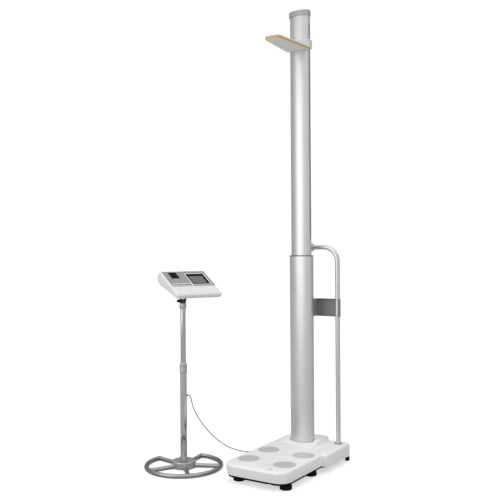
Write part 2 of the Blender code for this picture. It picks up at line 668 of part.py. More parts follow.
def build_rail(row):
    rise = [(RAIL_X, RAIL_Y, FRAME_Z + FRAME_THICKNESS + GAP)]
    bend = arc((RAIL_X - RAIL_BEND, RAIL_TOP - RAIL_BEND), RAIL_BEND, 0, 90, 8)
    path = rise + [(x, RAIL_Y, z) for x, z in bend]
    end = COLUMN_X + RAIL_END
    path.append((end, RAIL_Y, RAIL_TOP))
    add("rail_tube", sweep(path, RAIL_RADIUS, 14, up=Vector((0, 1, 0))), "rail_paint", row, smooth=True)
    inner = RAIL_RADIUS + GAP
    flange = turned_ring([(0.0195, 0), (0.0195, 0.003), (0.0170, 0.0045), (inner, 0.0045), (inner, 0)], 20)
    add("rail_flange", flange, "rail_paint", row, (RAIL_X, RAIL_Y, TOP_Z + GAP), smooth=True)

    upper_back = max(y for _, y in upper_section())
    block = box((COLUMN_X - 0.012, upper_back + GAP, RAIL_TOP - 0.020),
                (COLUMN_X + 0.024, RAIL_Y + 0.018, RAIL_TOP + 0.020))
    clamp = add("rail_clamp", block, "dark_paint", row)
    bore = (COLUMN_X, RAIL_Y, RAIL_TOP)
    cut(clamp, prism(circle(RAIL_RADIUS + GAP, 14), -0.1, 0.1), place=bore, turn=ACROSS)

    # the plate hooks round the post and is bent forward onto the column's back
    sheet = PLATE_THICKNESS
    hook = RAIL_RADIUS + GAP
    post = (RAIL_X, RAIL_Y)
    wall_y = COLUMN_REAR_Y + GAP
    outline = arc(post, hook, -60, 90, 8)
    outline += [(COLUMN_X + 0.048, RAIL_Y + hook), (COLUMN_X + 0.034, wall_y), (COLUMN_X - 0.010, wall_y),
                (COLUMN_X - 0.010, wall_y + sheet), (COLUMN_X + 0.032, wall_y + sheet),
                (COLUMN_X + 0.046, RAIL_Y + hook + sheet)]
    outline += arc(post, hook + sheet, 90, -60, 8)
    plate = add("rail_bracket", prism(outline, PLATE_BOTTOM, PLATE_BOTTOM + PLATE_HEIGHT), "dark_paint", row)
    lip_low = RAIL_Y + hook - PLATE_LIP
    lip_end = RAIL_X - hook - 0.004
    for z in (PLATE_BOTTOM, PLATE_BOTTOM + PLATE_HEIGHT - sheet):
        join(plate, box((COLUMN_X + 0.052, lip_low, z), (lip_end, RAIL_Y + hook + 0.001, z + sheet)))


def build_stand(row):
    root = empty("stand", (POLE_X, POLE_Y, 0), row)
    step = 360 / SPOKES
    angles = [FIRST_SPOKE - step * k for k in range(SPOKES)]
    start = HUB_RADIUS - 0.004
    near, far = angles[0], angles[-1]
    ring = arc((0, 0), RING_RADIUS, near, far, 40)

    def on_ray(radius, angle):
        turn = math.radians(angle)
        return radius * math.cos(turn), radius * math.sin(turn)

    path = [on_ray(start, near)] + ring + [on_ray(start, far)]
    base = add("ring_base", sweep([(x, y, RING_TUBE) for x, y in path], RING_TUBE, 12), "chrome", root,
               smooth=True)
    for angle in angles[1:-1]:
        ends = [(*on_ray(start, angle), RING_TUBE), (*on_ray(RING_RADIUS + 0.002, angle), RING_TUBE)]
        join(base, sweep(ends, SPOKE_RADIUS, 10), parent=root)
    cut(base, prism(circle(HUB_RADIUS + GAP, 32), -0.01, 0.05), parent=root)
    hub = turned([(HUB_RADIUS - 0.003, 0.001), (HUB_RADIUS, 0.004), (HUB_RADIUS, HUB_HEIGHT - 0.006),
                  (HUB_RADIUS - 0.002, HUB_HEIGHT - 0.002), (HUB_RADIUS - 0.007, HUB_HEIGHT),
                  ], 32)
    add("stand_hub", hub, "brushed_steel", root, smooth=True)

    inner = LOWER_POLE_RADIUS - POLE_WALL
    tube = turned_ring([(LOWER_POLE_RADIUS, HUB_HEIGHT + GAP), (LOWER_POLE_RADIUS, LOWER_POLE_TOP),
                        (inner, LOWER_POLE_TOP), (inner, HUB_HEIGHT + GAP)], 20)
    lower = add("lower_pole", tube, "chrome", root, smooth=True)
    exit_turn = (0, math.pi / 2, math.radians(CABLE_EXIT_ANGLE))
    bush = CABLE_RADIUS + 0.0025
    outlet = (0, 0, CABLE_EXIT_Z)
    cut(lower, prism(circle(bush + GAP, 12), 0, 0.04), parent=root, place=outlet, turn=exit_turn)
    hole = CABLE_RADIUS + GAP
    face = LOWER_POLE_RADIUS + 0.0015
    grommet = turned_ring([(bush, inner + 0.0005), (bush, face), (bush - 0.001, face + 0.003),
                           (hole, face + 0.003), (hole, inner + 0.0005)], 12)
    add("cable_grommet", grommet, "black_rubber", root, outlet, exit_turn, smooth=True)

    twist_low = LOWER_POLE_TOP + GAP
    bore = UPPER_POLE_RADIUS + GAP
    height = TWIST_HEIGHT
    twist = turned_ring([(TWIST_RADIUS - 0.0015, 0), (TWIST_RADIUS, 0.0015), (TWIST_RADIUS, height - 0.004),
                         (TWIST_RADIUS - 0.003, height), (bore, height), (bore, 0)], 24)
    add("twist_collar", twist, "brushed_steel", root, (0, 0, twist_low), smooth=True)

    bore = UPPER_POLE_RADIUS - POLE_WALL
    head_top = HEAD_COLLAR_BOTTOM + HEAD_COLLAR_HEIGHT
    tube = turned_ring([(UPPER_POLE_RADIUS, UPPER_POLE_BOTTOM), (UPPER_POLE_RADIUS, head_top - GAP),
                        (bore, head_top - GAP), (bore, UPPER_POLE_BOTTOM)], 20)
    add("upper_pole", tube, "chrome", root, smooth=True)
    bore = UPPER_POLE_RADIUS + GAP
    height = HEAD_COLLAR_HEIGHT
    collar = turned_ring([(bore + 0.001, 0), (HEAD_COLLAR_RADIUS, 0.006), (HEAD_COLLAR_RADIUS, height),
                          (bore, height), (bore, 0)], 24)
    add("head_pole_collar", collar, "brushed_steel", root, (0, 0, HEAD_COLLAR_BOTTOM), smooth=True)
    return root


def case_profile(inset=0.0):
    """Side of the console's case as (y, z) from the pole's axis and the floor."""
    nose = [(-0.100, 0.9127), (-0.136, 0.8925), (-0.1500, 0.8830), (-0.1560, 0.8735), (-0.1525, 0.8640),
            (-0.1400, 0.8575)]
    back = [(0.0480, 0.9160), (0.0660, 0.9270), (0.0745, 0.9420), (0.0720, 0.9620), (0.0600, 0.9780),
            (0.0480, 0.9838), (0.0340, 0.9842)]
    outline = nose + back
    return offset_convex(outline, inset) if inset else outline


def split_z(y):
    """Height of the seam between the case's two halves."""
    return 0.8722 + (y + 0.156) * 0.262


def case_solid(inset):
    """The case's form along its width, with chamfered ends."""
    chamfer = CONSOLE_CHAMFER
    half = CONSOLE_HALF - inset
    loops = []
    for x, extra in ((-half, chamfer), (-half + chamfer, 0), (half - chamfer, 0), (half, chamfer)):
        loops.append([(x + CONSOLE_SHIFT, y, z - TILT_Z) for y, z in case_profile(inset + extra)])
    return loft(loops)


def half_space(upper, shift):
    """A block on one side of the case's seam."""
    reach = 0.2
    far = reach if upper else -reach
    rows = []
    for x in (-reach, reach):
        corners = ((-reach, shift), (reach, shift), (reach, far), (-reach, far))
        rows.append([(x, y, split_z(y) - TILT_Z + rise) for y, rise in corners])
    return loft(rows)


def panel_box(middle, size, low, high):
    """A block in the panel's axes: x along the console, y up the slope, z out of it."""
    return box((middle[0] - size[0] / 2, middle[1] - size[1] / 2, low),
               (middle[0] + size[0] / 2, middle[1] + size[1] / 2, high))


def build_console(stand):
    swivel = empty("swivel_axis", (0, 0, 0), stand, (0, 0, math.radians(CONSOLE_TURN)))
    low = HEAD_COLLAR_BOTTOM + HEAD_COLLAR_HEIGHT + GAP
    post = turned([(0.0165, 0), (0.0165, 0.0025), (0.0155, 0.0033)], 20)
    head = add("swivel_head", post, "dark_plastic", swivel, (0, 0, low))
    ear = [(y, z) for y, z in arc((0, TILT_Z - low), 0.009, 0, 180, 8)] + [(-0.009, 0.003), (0.009, 0.003)]
    shape = loft([[(x, y, z) for y, z in ear] for x in (-0.010, 0.010)])
    join(head, shape, parent=swivel, place=(0, 0, low))
    pin_hole = prism(circle(PIN_RADIUS + GAP, 12), -0.05, 0.05)
    cut(head, pin_hole, parent=swivel, place=(0, 0, TILT_Z), turn=ACROSS)

    tilt = empty("tilt_axis", (0, 0, TILT_Z), swivel)
    bottom_slope = math.atan2(0.9160 - 0.8575, 0.0480 + 0.1400)
    floor_z = 0.8575 + 0.140 * math.tan(bottom_slope) - TILT_Z

    def bottom(y):
        return floor_z + y * math.tan(bottom_slope) - GAP / math.cos(bottom_slope)

    outer = 0.0145
    inner = 0.0105
    reach = 0.024
    thick = 0.003
    ear = arc((0, 0), 0.008, 180, 360, 8) + [(reach, bottom(reach)), (-reach, bottom(-reach))]
    left_ear = loft([[(x, y, z) for y, z in ear] for x in (-outer, -inner)])
    bracket = add("tilt_bracket", left_ear, "dark_plastic", tilt)
    join(bracket, loft([[(x, y, z) for y, z in ear] for x in (inner, outer)]))
    top = [(-reach, bottom(-reach)), (reach, bottom(reach)), (reach, bottom(reach) - thick),
           (-reach, bottom(-reach) - thick)]
    join(bracket, loft([[(x, y, z) for y, z in top] for x in (-outer - 0.0002, outer + 0.0002)]))
    cut(bracket, prism(circle(PIN_RADIUS + GAP, 12), -0.05, 0.05), turn=ACROSS)
    knob = turned([(PIN_RADIUS, -2 * outer - 0.002), (PIN_RADIUS, GAP), (0.0060, GAP), (0.0080, 0.004),
                   (0.0080, 0.014), (0.0060, 0.017)], 14)
    add("tilt_knob", knob, "black_rubber", tilt, (-outer - 2 * GAP, 0, 0), (0, -math.pi / 2, 0), smooth=True)

    slope = math.radians(PANEL_SLOPE)
    middle = (CONSOLE_SHIFT, PANEL_MIDDLE[0], PANEL_MIDDLE[1] - TILT_Z)
    panel = empty("panel_axis", middle, tilt, (slope, 0, 0))
    top_case = add("console_top", case_solid(0), "white_plastic", tilt)
    cut(top_case, half_space(False, GAP / 2))
    cut(top_case, case_solid(CONSOLE_WALL))
    base = add("console_base", case_solid(0), "white_plastic", tilt)
    cut(base, half_space(True, -GAP / 2))
    cut(base, case_solid(CONSOLE_WALL))

    hatch = [side + 4 * GAP for side in DOOR_SIZE]
    well = [side + 2 * WELL_WALL for side in hatch]
    join(top_case, panel_box(DOOR_MIDDLE, well, -WELL_DEPTH - WELL_WALL, -0.0015), parent=panel)
    proud = 0.0002
    recess = PANEL_SHEET + GAP - proud
    cut(top_case, panel_box((0, 0), [side + 2 * GAP for side in PANEL_SIZE], -recess, 0.02), parent=panel)
    plate = panel_box((0, 0), PANEL_SIZE, proud - PANEL_SHEET, proud)
    sheet = add("console_panel", plate, "grey_plastic", panel)
    window = [side + 2 * GAP for side in SCREEN_SIZE]
    for target in (top_case, sheet):
        cut(target, panel_box(SCREEN_MIDDLE, window, -0.02, 0.03), parent=panel)
        cut(target, panel_box(DOOR_MIDDLE, hatch, -WELL_DEPTH, 0.03), parent=panel)
    frame = panel_box(SCREEN_MIDDLE, SCREEN_SIZE, -0.005, 0.0008)
    bezel = add("display_bezel", frame, "dark_plastic", panel)
    view = [side - 2 * BEZEL_RIM for side in SCREEN_SIZE]
    cut(bezel, panel_box(SCREEN_MIDDLE, view, -0.02, 0.03), parent=panel)
    glass = [side - 2 * GAP for side in view]
    add("display_screen", panel_box(SCREEN_MIDDLE, glass, -0.005, -0.0008), "screen_glass", panel)

    hinge = (DOOR_MIDDLE[0], DOOR_MIDDLE[1] + DOOR_SIZE[1] / 2, 0)
    door_axis = empty("door_axis", hinge, panel)
    add("printer_door", box((-DOOR_SIZE[0] / 2, -DOOR_SIZE[1], -DOOR_THICKNESS), (DOOR_SIZE[0] / 2, 0, 0)),
        "dark_plastic", door_axis)
    build_paper_roll(panel)
    build_keys(panel, top_case, sheet)


def build_paper_roll(panel):
    half = DOOR_SIZE[0] / 2 - 0.001
    roll = turned_ring([(ROLL_RADIUS, -half), (ROLL_RADIUS, half), (0.006, half), (0.006, -half)], 20)
    back = DOOR_MIDDLE[1] + DOOR_SIZE[1] / 2
    depth = -WELL_DEPTH + ROLL_RADIUS + 0.001
    add("paper_roll", roll, "paper", panel, (DOOR_MIDDLE[0], back - ROLL_RADIUS - 0.001, depth),
        (0, math.pi / 2, 0), smooth=True)


def build_keys(panel, top_case, sheet):
    for number in range(KEYS):
        place = (DOOR_MIDDLE[0] - 0.016 + KEY_PITCH * number, KEY_ROW_Y)
        for target in (top_case, sheet):
            cut(target, panel_box(place, [side + 4 * GAP for side in KEY_SIZE], -0.02, 0.03), parent=panel)
        rise = KEY_TRAVEL + 0.0005
        key = panel_box((0, 0), KEY_SIZE, rise - KEY_HEIGHT, rise)
        add("key_%d" % (number + 1), key, "grey_plastic", panel, (*place, 0))


def smooth_points(route, steps):
    """Points along a smooth curve through the route's own points."""
    ends = [2 * route[0] - route[1]] + route + [2 * route[-1] - route[-2]]
    points = []
    for before, start, end, after in zip(ends, ends[1:], ends[2:], ends[3:]):
        bend = 2 * before - 5 * start + 4 * end - after
        twist = 3 * start - before - 3 * end + after
        for k in range(steps):
            t = k / steps
            points.append(0.5 * (2 * start + (end - before) * t + bend * t ** 2 + twist * t ** 3))
    points.append(route[-1])
    return points


def build_cable(row):
    """Data cable from the lower pole down to the floor and on to the socket in the platform's left wall."""
    turn = math.radians(CABLE_EXIT_ANGLE)
    start = LOWER_POLE_RADIUS + 0.0015 + 0.003 + GAP
    first = Vector((POLE_X + start * math.cos(turn), POLE_Y + start * math.sin(turn), CABLE_EXIT_Z))
    socket_y, socket_z = SOCKET_PLACE
    plug_end = -PLATFORM_WIDTH / 2 - GAP - PLUG_LENGTH
    lying = CABLE_RADIUS + 2 * GAP
    outward = Vector((math.cos(turn), math.sin(turn), 0))
    route = [first, first + outward * 0.007] + [Vector(point) for point in (
        (-0.4478, -0.0965, 0.3555),
        (-0.4462, -0.0925, 0.3480),
        (-0.4450, -0.0890, 0.3365),
        (-0.4435, -0.0845, 0.3150),
        (-0.4395, -0.0750, 0.2860),
        (-0.4345, -0.0560, 0.2500),
        (-0.4235, -0.0180, 0.1960),
        (-0.4090, 0.0330, 0.1390),
        (-0.3950, 0.0830, 0.0950),
        (-0.3800, 0.1330, 0.0590),
        (-0.3660, 0.1830, 0.0330),
        (-0.3525, 0.2300, 0.0145),
        (-0.3380, 0.2640, 0.0050),
        (-0.3180, 0.2880, lying),
        (-0.2900, 0.3030, lying),
        (-0.2650, 0.3110, 0.0080),
        (-0.2430, 0.3155, 0.0250),
        (-0.2270, socket_y, 0.0440),
        (plug_end - 0.0150, socket_y, 0.0560),
        (plug_end - 0.0070, socket_y, socket_z))]
    route.append(Vector((plug_end - GAP, socket_y, socket_z)))
    data = bpy.data.curves.new("data_cable", "CURVE")
    data.dimensions = "3D"
    data.bevel_depth = CABLE_RADIUS
    data.bevel_resolution = 2
    data.use_fill_caps = True
    points = smooth_points(route, 3)
    line = data.splines.new("POLY")
    line.points.add(len(points) - 1)
    for spot, point in zip(line.points, points):
        spot.co = (*point, 1)
    line.use_smooth = True
    data.materials.append(material("cable_grey"))
    cable = bpy.data.objects.new("data_cable", data)
    bpy.context.scene.collection.objects.link(cable)
    cable.parent = row
    plug = turned([(0.0040, 0), (PLUG_RADIUS, 0.006), (PLUG_RADIUS, PLUG_LENGTH)], 14)
    add("cable_plug", plug, "dark_plastic", row, (plug_end, socket_y, socket_z), ACROSS, smooth=True)


def main():
    clear_scene()
    row = empty("footprint_middle", (-MIDDLE_X, -MIDDLE_Y, 0))
    build_platform(row)
    build_feet(row)
    build_sockets(row)
    build_column(row)
    build_drive(row)
    build_head(row)
    build_rail(row)
    stand = build_stand(row)
    build_console(stand)
    build_cable(row)


main()
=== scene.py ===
"""Looks of the electronic column scale: platform, column with height rod, handrail and console stand."""
import json
import math

import bmesh
import bpy
from mathutils import Matrix, Vector


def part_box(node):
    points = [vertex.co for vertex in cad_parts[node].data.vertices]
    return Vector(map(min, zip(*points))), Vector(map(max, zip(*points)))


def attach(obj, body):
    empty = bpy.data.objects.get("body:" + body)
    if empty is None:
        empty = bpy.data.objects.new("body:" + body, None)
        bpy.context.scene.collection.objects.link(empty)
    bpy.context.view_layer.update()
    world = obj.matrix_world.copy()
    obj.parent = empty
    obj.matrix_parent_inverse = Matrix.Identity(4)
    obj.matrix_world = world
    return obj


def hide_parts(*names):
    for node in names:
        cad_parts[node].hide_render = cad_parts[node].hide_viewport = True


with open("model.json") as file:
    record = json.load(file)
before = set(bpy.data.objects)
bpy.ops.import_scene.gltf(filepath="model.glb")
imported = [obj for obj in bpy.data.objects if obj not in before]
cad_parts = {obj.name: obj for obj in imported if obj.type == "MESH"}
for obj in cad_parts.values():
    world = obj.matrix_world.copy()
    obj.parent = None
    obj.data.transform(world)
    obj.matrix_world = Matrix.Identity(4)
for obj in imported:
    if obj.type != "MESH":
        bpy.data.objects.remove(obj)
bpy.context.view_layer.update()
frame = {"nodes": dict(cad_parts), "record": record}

GAP = 0.0003                      # between pieces that touch
UP = Vector((0, 0, 1))
BACKWARD = Matrix.Rotation(-math.pi / 2, 4, "X")    # turns what stands up to face the back
DOWNWARD = Matrix.Rotation(math.pi, 4, "X")


def middle(node):
    low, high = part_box(node)
    return (Vector(low) + Vector(high)) / 2


def low_z(node):
    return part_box(node)[0][2]


def high_z(node):
    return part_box(node)[1][2]


def half_width(node):
    low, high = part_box(node)
    return (high[0] - low[0]) / 2


def foot_of(node):
    """The point below a node's middle, level with its underside."""
    spot = middle(node)
    return Vector((spot.x, spot.y, low_z(node)))


POLE = middle("lower_pole").xy
POLE_FOOT = Vector((*POLE, 0))
COLUMN_X = middle("upper_column").x
ELECTRODES = ["electrode_%d" % number for number in range(1, 5)]
DECK = sum((middle(node) for node in ELECTRODES), Vector()) / 4
FLOOR_Z = 0.0
RAIL_BEND = 0.075

# stand: its ring is open between the last spoke and the first
RING_RADIUS = 0.187               # centre line
RING_TUBE = 0.011
SPOKES = 5
SPOKE_RADIUS = 0.0104
FIRST_SPOKE = 98.7                # degrees
POLE_WALL = 0.0020
CABLE_RADIUS = 0.0025
CABLE_TURN = math.radians(55.0)   # the cable leaves the lower pole this way
BUSH_REACH = 0.0045               # how far the cable's bush stands out of the pole
BRACKET_HALF = 0.0145             # half width of the tilt bracket

# console: x along it, y to its back, and the panel's own slope
CONSOLE_TURN = math.radians(64.9)
PANEL_SLOPE = math.radians(28.1)
PANEL_FACE = 0.0004               # the panel's working level lies this much below its middle
SCREEN_PLACE = (0.050, -0.004)
SCREEN_SIZE = (0.098, 0.100)
DOOR_PLACE = (-0.067, 0.035)
DOOR_SIZE = (0.043, 0.058)
KEY_ROW_Y = -0.0560
KEY_PITCH = 0.025
KEY_SIZE = (0.014, 0.008)
CONSOLE_X = Vector((math.cos(CONSOLE_TURN), math.sin(CONSOLE_TURN), 0))
CONSOLE_Y = Vector((-math.sin(CONSOLE_TURN), math.cos(CONSOLE_TURN), 0))
UP_SLOPE = CONSOLE_Y * math.cos(PANEL_SLOPE) + UP * math.sin(PANEL_SLOPE)
OUT_OF_PANEL = CONSOLE_X.cross(UP_SLOPE)


# ---------------------------------------------------------------- shared steps

def linked(name, data):
    made = bpy.data.objects.new(name, data)
    bpy.context.scene.collection.objects.link(made)
    return made


def mesh_of(name, shape):
    mesh = bpy.data.meshes.new(name)
    shape.to_mesh(mesh)
    shape.free()
    return mesh


def feed(tree, value, socket):
    """Sets a socket to a number, or links another node's output to it."""
    if isinstance(value, (int, float)):
        socket.default_value = value
    else:
        tree.links.new(value, socket)


def math_node(tree, operation, first, second):
    node = tree.nodes.new("ShaderNodeMath")
    node.operation = operation
    feed(tree, first, node.inputs[0])
    feed(tree, second, node.inputs[1])
    return node.outputs[0]


def color_mix(tree, amount, first, second):
    """Mixes two colours; the first may be another node's output."""
    mix = tree.nodes.new("ShaderNodeMix")
    mix.data_type = "RGBA"
    tree.links.new(amount, mix.inputs["Factor"])
    if isinstance(first, tuple):
        mix.inputs["A"].default_value = first
    else:
        tree.links.new(first, mix.inputs["A"])
    mix.inputs["B"].default_value = second
    return mix.outputs["Result"]


# ---------------------------------------------------------------- camera, stage and light

def build_camera():
    data = bpy.data.cameras.new("camera")
    data.lens = 52.85
    data.sensor_width = 36.0
    camera = linked("camera", data)
    place = Matrix.Translation((2.048, -3.100, 1.090))
    turn = Matrix.Rotation(math.radians(32.7), 4, "Z") @ Matrix.Rotation(math.radians(90), 4, "X")
    roll = Matrix.Rotation(math.radians(-0.35), 4, "Z")
    camera.matrix_world = place @ turn @ roll
    bpy.context.scene.camera = camera


def area_light(name, place, target, size, power):
    data = bpy.data.lights.new(name, "AREA")
    data.shape = "RECTANGLE"
    data.size, data.size_y = size
    data.energy = power
    lamp = linked(name, data)
    lamp.location = place
    aim = Vector(target) - Vector(place)
    lamp.rotation_euler = aim.to_track_quat("-Z", "Y").to_euler()


def glow_toward(tree, toward, span, strength):
    """Brightness that rises with the cosine to a direction, from one end of the span to the other."""
    place = tree.nodes.new("ShaderNodeTexCoord")
    facing = tree.nodes.new("ShaderNodeVectorMath")
    facing.operation = "DOT_PRODUCT"
    facing.inputs[1].default_value = Vector(toward).normalized()
    spread = tree.nodes.new("ShaderNodeMapRange")
    spread.interpolation_type = "SMOOTHSTEP"
    spread.inputs["From Min"].default_value, spread.inputs["From Max"].default_value = span
    spread.inputs["To Min"].default_value, spread.inputs["To Max"].default_value = strength
    tree.links.new(place.outputs["Generated"], facing.inputs[0])
    tree.links.new(facing.outputs["Value"], spread.inputs["Value"])
    return spread.outputs["Result"]


def build_world():
    """Soft studio surroundings: bright in front on the right and overhead, dim at the left and behind."""
    world = bpy.data.worlds.new("studio")
    bpy.context.scene.world = world
    world.use_nodes = True
    tree = world.node_tree
    tree.nodes.clear()
    window = glow_toward(tree, (0.56, -0.83, 0.0), (-1.0, 1.0), (0.34, 1.00))
    ceiling = glow_toward(tree, UP, (0.30, 1.0), (0.0, 1.10))
    surround = tree.nodes.new("ShaderNodeBackground")
    backdrop = tree.nodes.new("ShaderNodeBackground")
    backdrop.inputs["Color"].default_value = (1, 1, 1, 1)
    backdrop.inputs["Strength"].default_value = 1.05
    path = tree.nodes.new("ShaderNodeLightPath")
    mix = tree.nodes.new("ShaderNodeMixShader")
    out = tree.nodes.new("ShaderNodeOutputWorld")
    link = tree.links.new
    link(math_node(tree, "ADD", window, ceiling), surround.inputs["Strength"])
    link(path.outputs["Is Camera Ray"], mix.inputs["Fac"])
    link(surround.outputs["Background"], mix.inputs[1])
    link(backdrop.outputs["Background"], mix.inputs[2])
    link(mix.outputs["Shader"], out.inputs["Surface"])


def build_floor():
    """Wide floor that takes soft shadows and otherwise shows nearly white."""
    reach = 14.0
    shape = bmesh.new()
    corners = ((-reach, -reach), (reach, -reach), (reach, reach), (-reach, reach))
    shape.faces.new([shape.verts.new((x, y, FLOOR_Z)) for x, y in corners])
    paint = bpy.data.materials.new("floor_paint")
    paint.use_nodes = True
    tree = paint.node_tree
    shader = tree.nodes["Principled BSDF"]
    shader.inputs["Base Color"].default_value = (0.50, 0.50, 0.50, 1)
    shader.inputs["Roughness"].default_value = 0.9
    shader.inputs["Specular IOR Level"].default_value = 0.1
    shader.inputs["Emission Strength"].default_value = 1.0
    path = tree.nodes.new("ShaderNodeLightPath")
    glow = color_mix(tree, path.outputs["Is Camera Ray"], (0, 0, 0, 1), (0.60, 0.60, 0.60, 1))
    tree.links.new(glow, shader.inputs["Emission Color"])
    mesh = mesh_of("floor", shape)
    mesh.materials.append(paint)
    linked("floor", mesh)


build_camera()
build_world()
build_floor()
area_light("key_softbox", (-0.9, -3.2, 1.65), (0.1, 0.2, 1.2), (3.0, 2.6), 30)
bpy.context.scene.view_settings.view_transform = "Standard"


# ---------------------------------------------------------------- finishes

def new_group(name, inputs, outputs):
    tree = bpy.data.node_groups.new(name, "ShaderNodeTree")
    for label, kind, value in inputs:
        socket = tree.interface.new_socket(label, in_out="INPUT", socket_type=kind)
        socket.default_value = value
    for label, kind in outputs:
        tree.interface.new_socket(label, in_out="OUTPUT", socket_type=kind)
    return tree, tree.nodes.new("NodeGroupInput"), tree.nodes.new("NodeGroupOutput")


def noise(tree, scale, detail=3.0, stretch=None):
    """Noise on the piece's own coordinates, in metres."""
    place = tree.nodes.new("ShaderNodeTexCoord")
    texture = tree.nodes.new("ShaderNodeTexNoise")
    texture.inputs["Detail"].default_value = detail
    vector = place.outputs["Object"]
    if stretch is not None:
        stretched = tree.nodes.new("ShaderNodeVectorMath")
        stretched.operation = "MULTIPLY"
        tree.links.new(vector, stretched.inputs[0])
        tree.links.new(stretch, stretched.inputs[1])
        vector = stretched.outputs[0]
    tree.links.new(vector, texture.inputs["Vector"])
    feed(tree, scale, texture.inputs["Scale"])
    return texture.outputs["Fac"]


def tone_group():
    """Slight unevenness of colour and gloss, as in any moulded, painted or rolled surface."""
    tree, given, put = new_group("uneven_tone", (
        ("Color", "NodeSocketColor", (0.8, 0.8, 0.8, 1)), ("Contrast", "NodeSocketFloat", 0.04),
        ("Scale", "NodeSocketFloat", 12.0), ("Roughness", "NodeSocketFloat", 0.4),
        ("Roughness Spread", "NodeSocketFloat", 0.05)),
        (("Color", "NodeSocketColor"), ("Roughness", "NodeSocketFloat")))
    cloud = math_node(tree, "SUBTRACT", noise(tree, given.outputs["Scale"]), 0.5)
    lift = math_node(tree, "ADD", math_node(tree, "MULTIPLY", cloud, given.outputs["Contrast"]), 1.0)
    tint = tree.nodes.new("ShaderNodeVectorMath")
    tint.operation = "SCALE"
    tree.links.new(given.outputs["Color"], tint.inputs[0])
    tree.links.new(lift, tint.inputs["Scale"])
    tree.links.new(tint.outputs[0], put.inputs["Color"])
    gloss = math_node(tree, "MULTIPLY", cloud, given.outputs["Roughness Spread"])
    tree.links.new(math_node(tree, "ADD", gloss, given.outputs["Roughness"]), put.inputs["Roughness"])
    return tree


def grain_group():
    """Height of a fine surface grain; Stretch draws it out into brushing along an axis."""
    tree, given, put = new_group("fine_grain", (
        ("Scale", "NodeSocketFloat", 900.0), ("Stretch", "NodeSocketVector", (1, 1, 1))),
        (("Height", "NodeSocketFloat"),))
    tree.links.new(noise(tree, given.outputs["Scale"], 2.0, given.outputs["Stretch"]), put.inputs["Height"])
    return tree


def wear_group():
    """Paler rubbed edges and a little dust on faces that look up."""
    edge_start, edge_gain = 0.52, 8.0         # of the Pointiness, which is 0.5 on a flat face
    dust_scale = 35.0
    rubbed, dusty = (0.85, 0.85, 0.85, 1), (0.55, 0.53, 0.50, 1)
    tree, given, put = new_group("wear_and_dust", (
        ("Color", "NodeSocketColor", (0.5, 0.5, 0.5, 1)), ("Edge", "NodeSocketFloat", 0.1),
        ("Dust", "NodeSocketFloat", 0.05)), (("Color", "NodeSocketColor"),))
    form = tree.nodes.new("ShaderNodeNewGeometry")
    above = math_node(tree, "SUBTRACT", form.outputs["Pointiness"], edge_start)
    edge = math_node(tree, "MAXIMUM", math_node(tree, "MULTIPLY", above, edge_gain), 0.0)
    edge = math_node(tree, "MULTIPLY", math_node(tree, "MINIMUM", edge, 1.0), given.outputs["Edge"])
    split = tree.nodes.new("ShaderNodeSeparateXYZ")
    tree.links.new(form.outputs["Normal"], split.inputs[0])
    upward = math_node(tree, "MAXIMUM", split.outputs["Z"], 0.0)
    dust = math_node(tree, "MULTIPLY", math_node(tree, "POWER", upward, 4.0), given.outputs["Dust"])
    dust = math_node(tree, "MULTIPLY", dust, noise(tree, dust_scale))
    worn = color_mix(tree, edge, given.outputs["Color"], rubbed)
    tree.links.new(color_mix(tree, dust, worn, dusty), put.inputs["Color"])
    return tree


TONE, GRAIN, WEAR = tone_group(), grain_group(), wear_group()
LOOKS = {}


def placed(tree, group, **values):
    node = tree.nodes.new("ShaderNodeGroup")
    node.node_tree = group
    for label, value in values.items():
        node.inputs[label.replace("_", " ")].default_value = value
    return node


def finish(name, color, roughness, metallic=0.0, contrast=0.04, scale=12.0, spread=0.05, grain=900.0,
           stretch=(1, 1, 1), bump=0.05, depth=0.0002, edge=0.0, dust=0.0, coat=0.0, specular=0.5):
    """A material of one finish, from the shared groups."""
    made = bpy.data.materials.new(name)
    made.use_nodes = True
    tree = made.node_tree
    shader = tree.nodes["Principled BSDF"]
    shader.inputs["Metallic"].default_value = metallic
    shader.inputs["Coat Weight"].default_value = coat
    shader.inputs["Coat Roughness"].default_value = 0.08
    shader.inputs["Specular IOR Level"].default_value = specular
    tone = placed(tree, TONE, Color=(*color, 1), Contrast=contrast, Scale=scale, Roughness=roughness,
                  Roughness_Spread=spread)
    wear = placed(tree, WEAR, Edge=edge, Dust=dust)
    fine = placed(tree, GRAIN, Scale=grain, Stretch=stretch)
    relief = tree.nodes.new("ShaderNodeBump")
    relief.inputs["Strength"].default_value = bump
    relief.inputs["Distance"].default_value = depth
    link = tree.links.new
    link(tone.outputs["Color"], wear.inputs["Color"])
    link(wear.outputs["Color"], shader.inputs["Base Color"])
    link(tone.outputs["Roughness"], shader.inputs["Roughness"])
    link(fine.outputs["Height"], relief.inputs["Height"])
    link(relief.outputs["Normal"], shader.inputs["Normal"])
    LOOKS[name] = made
    return made


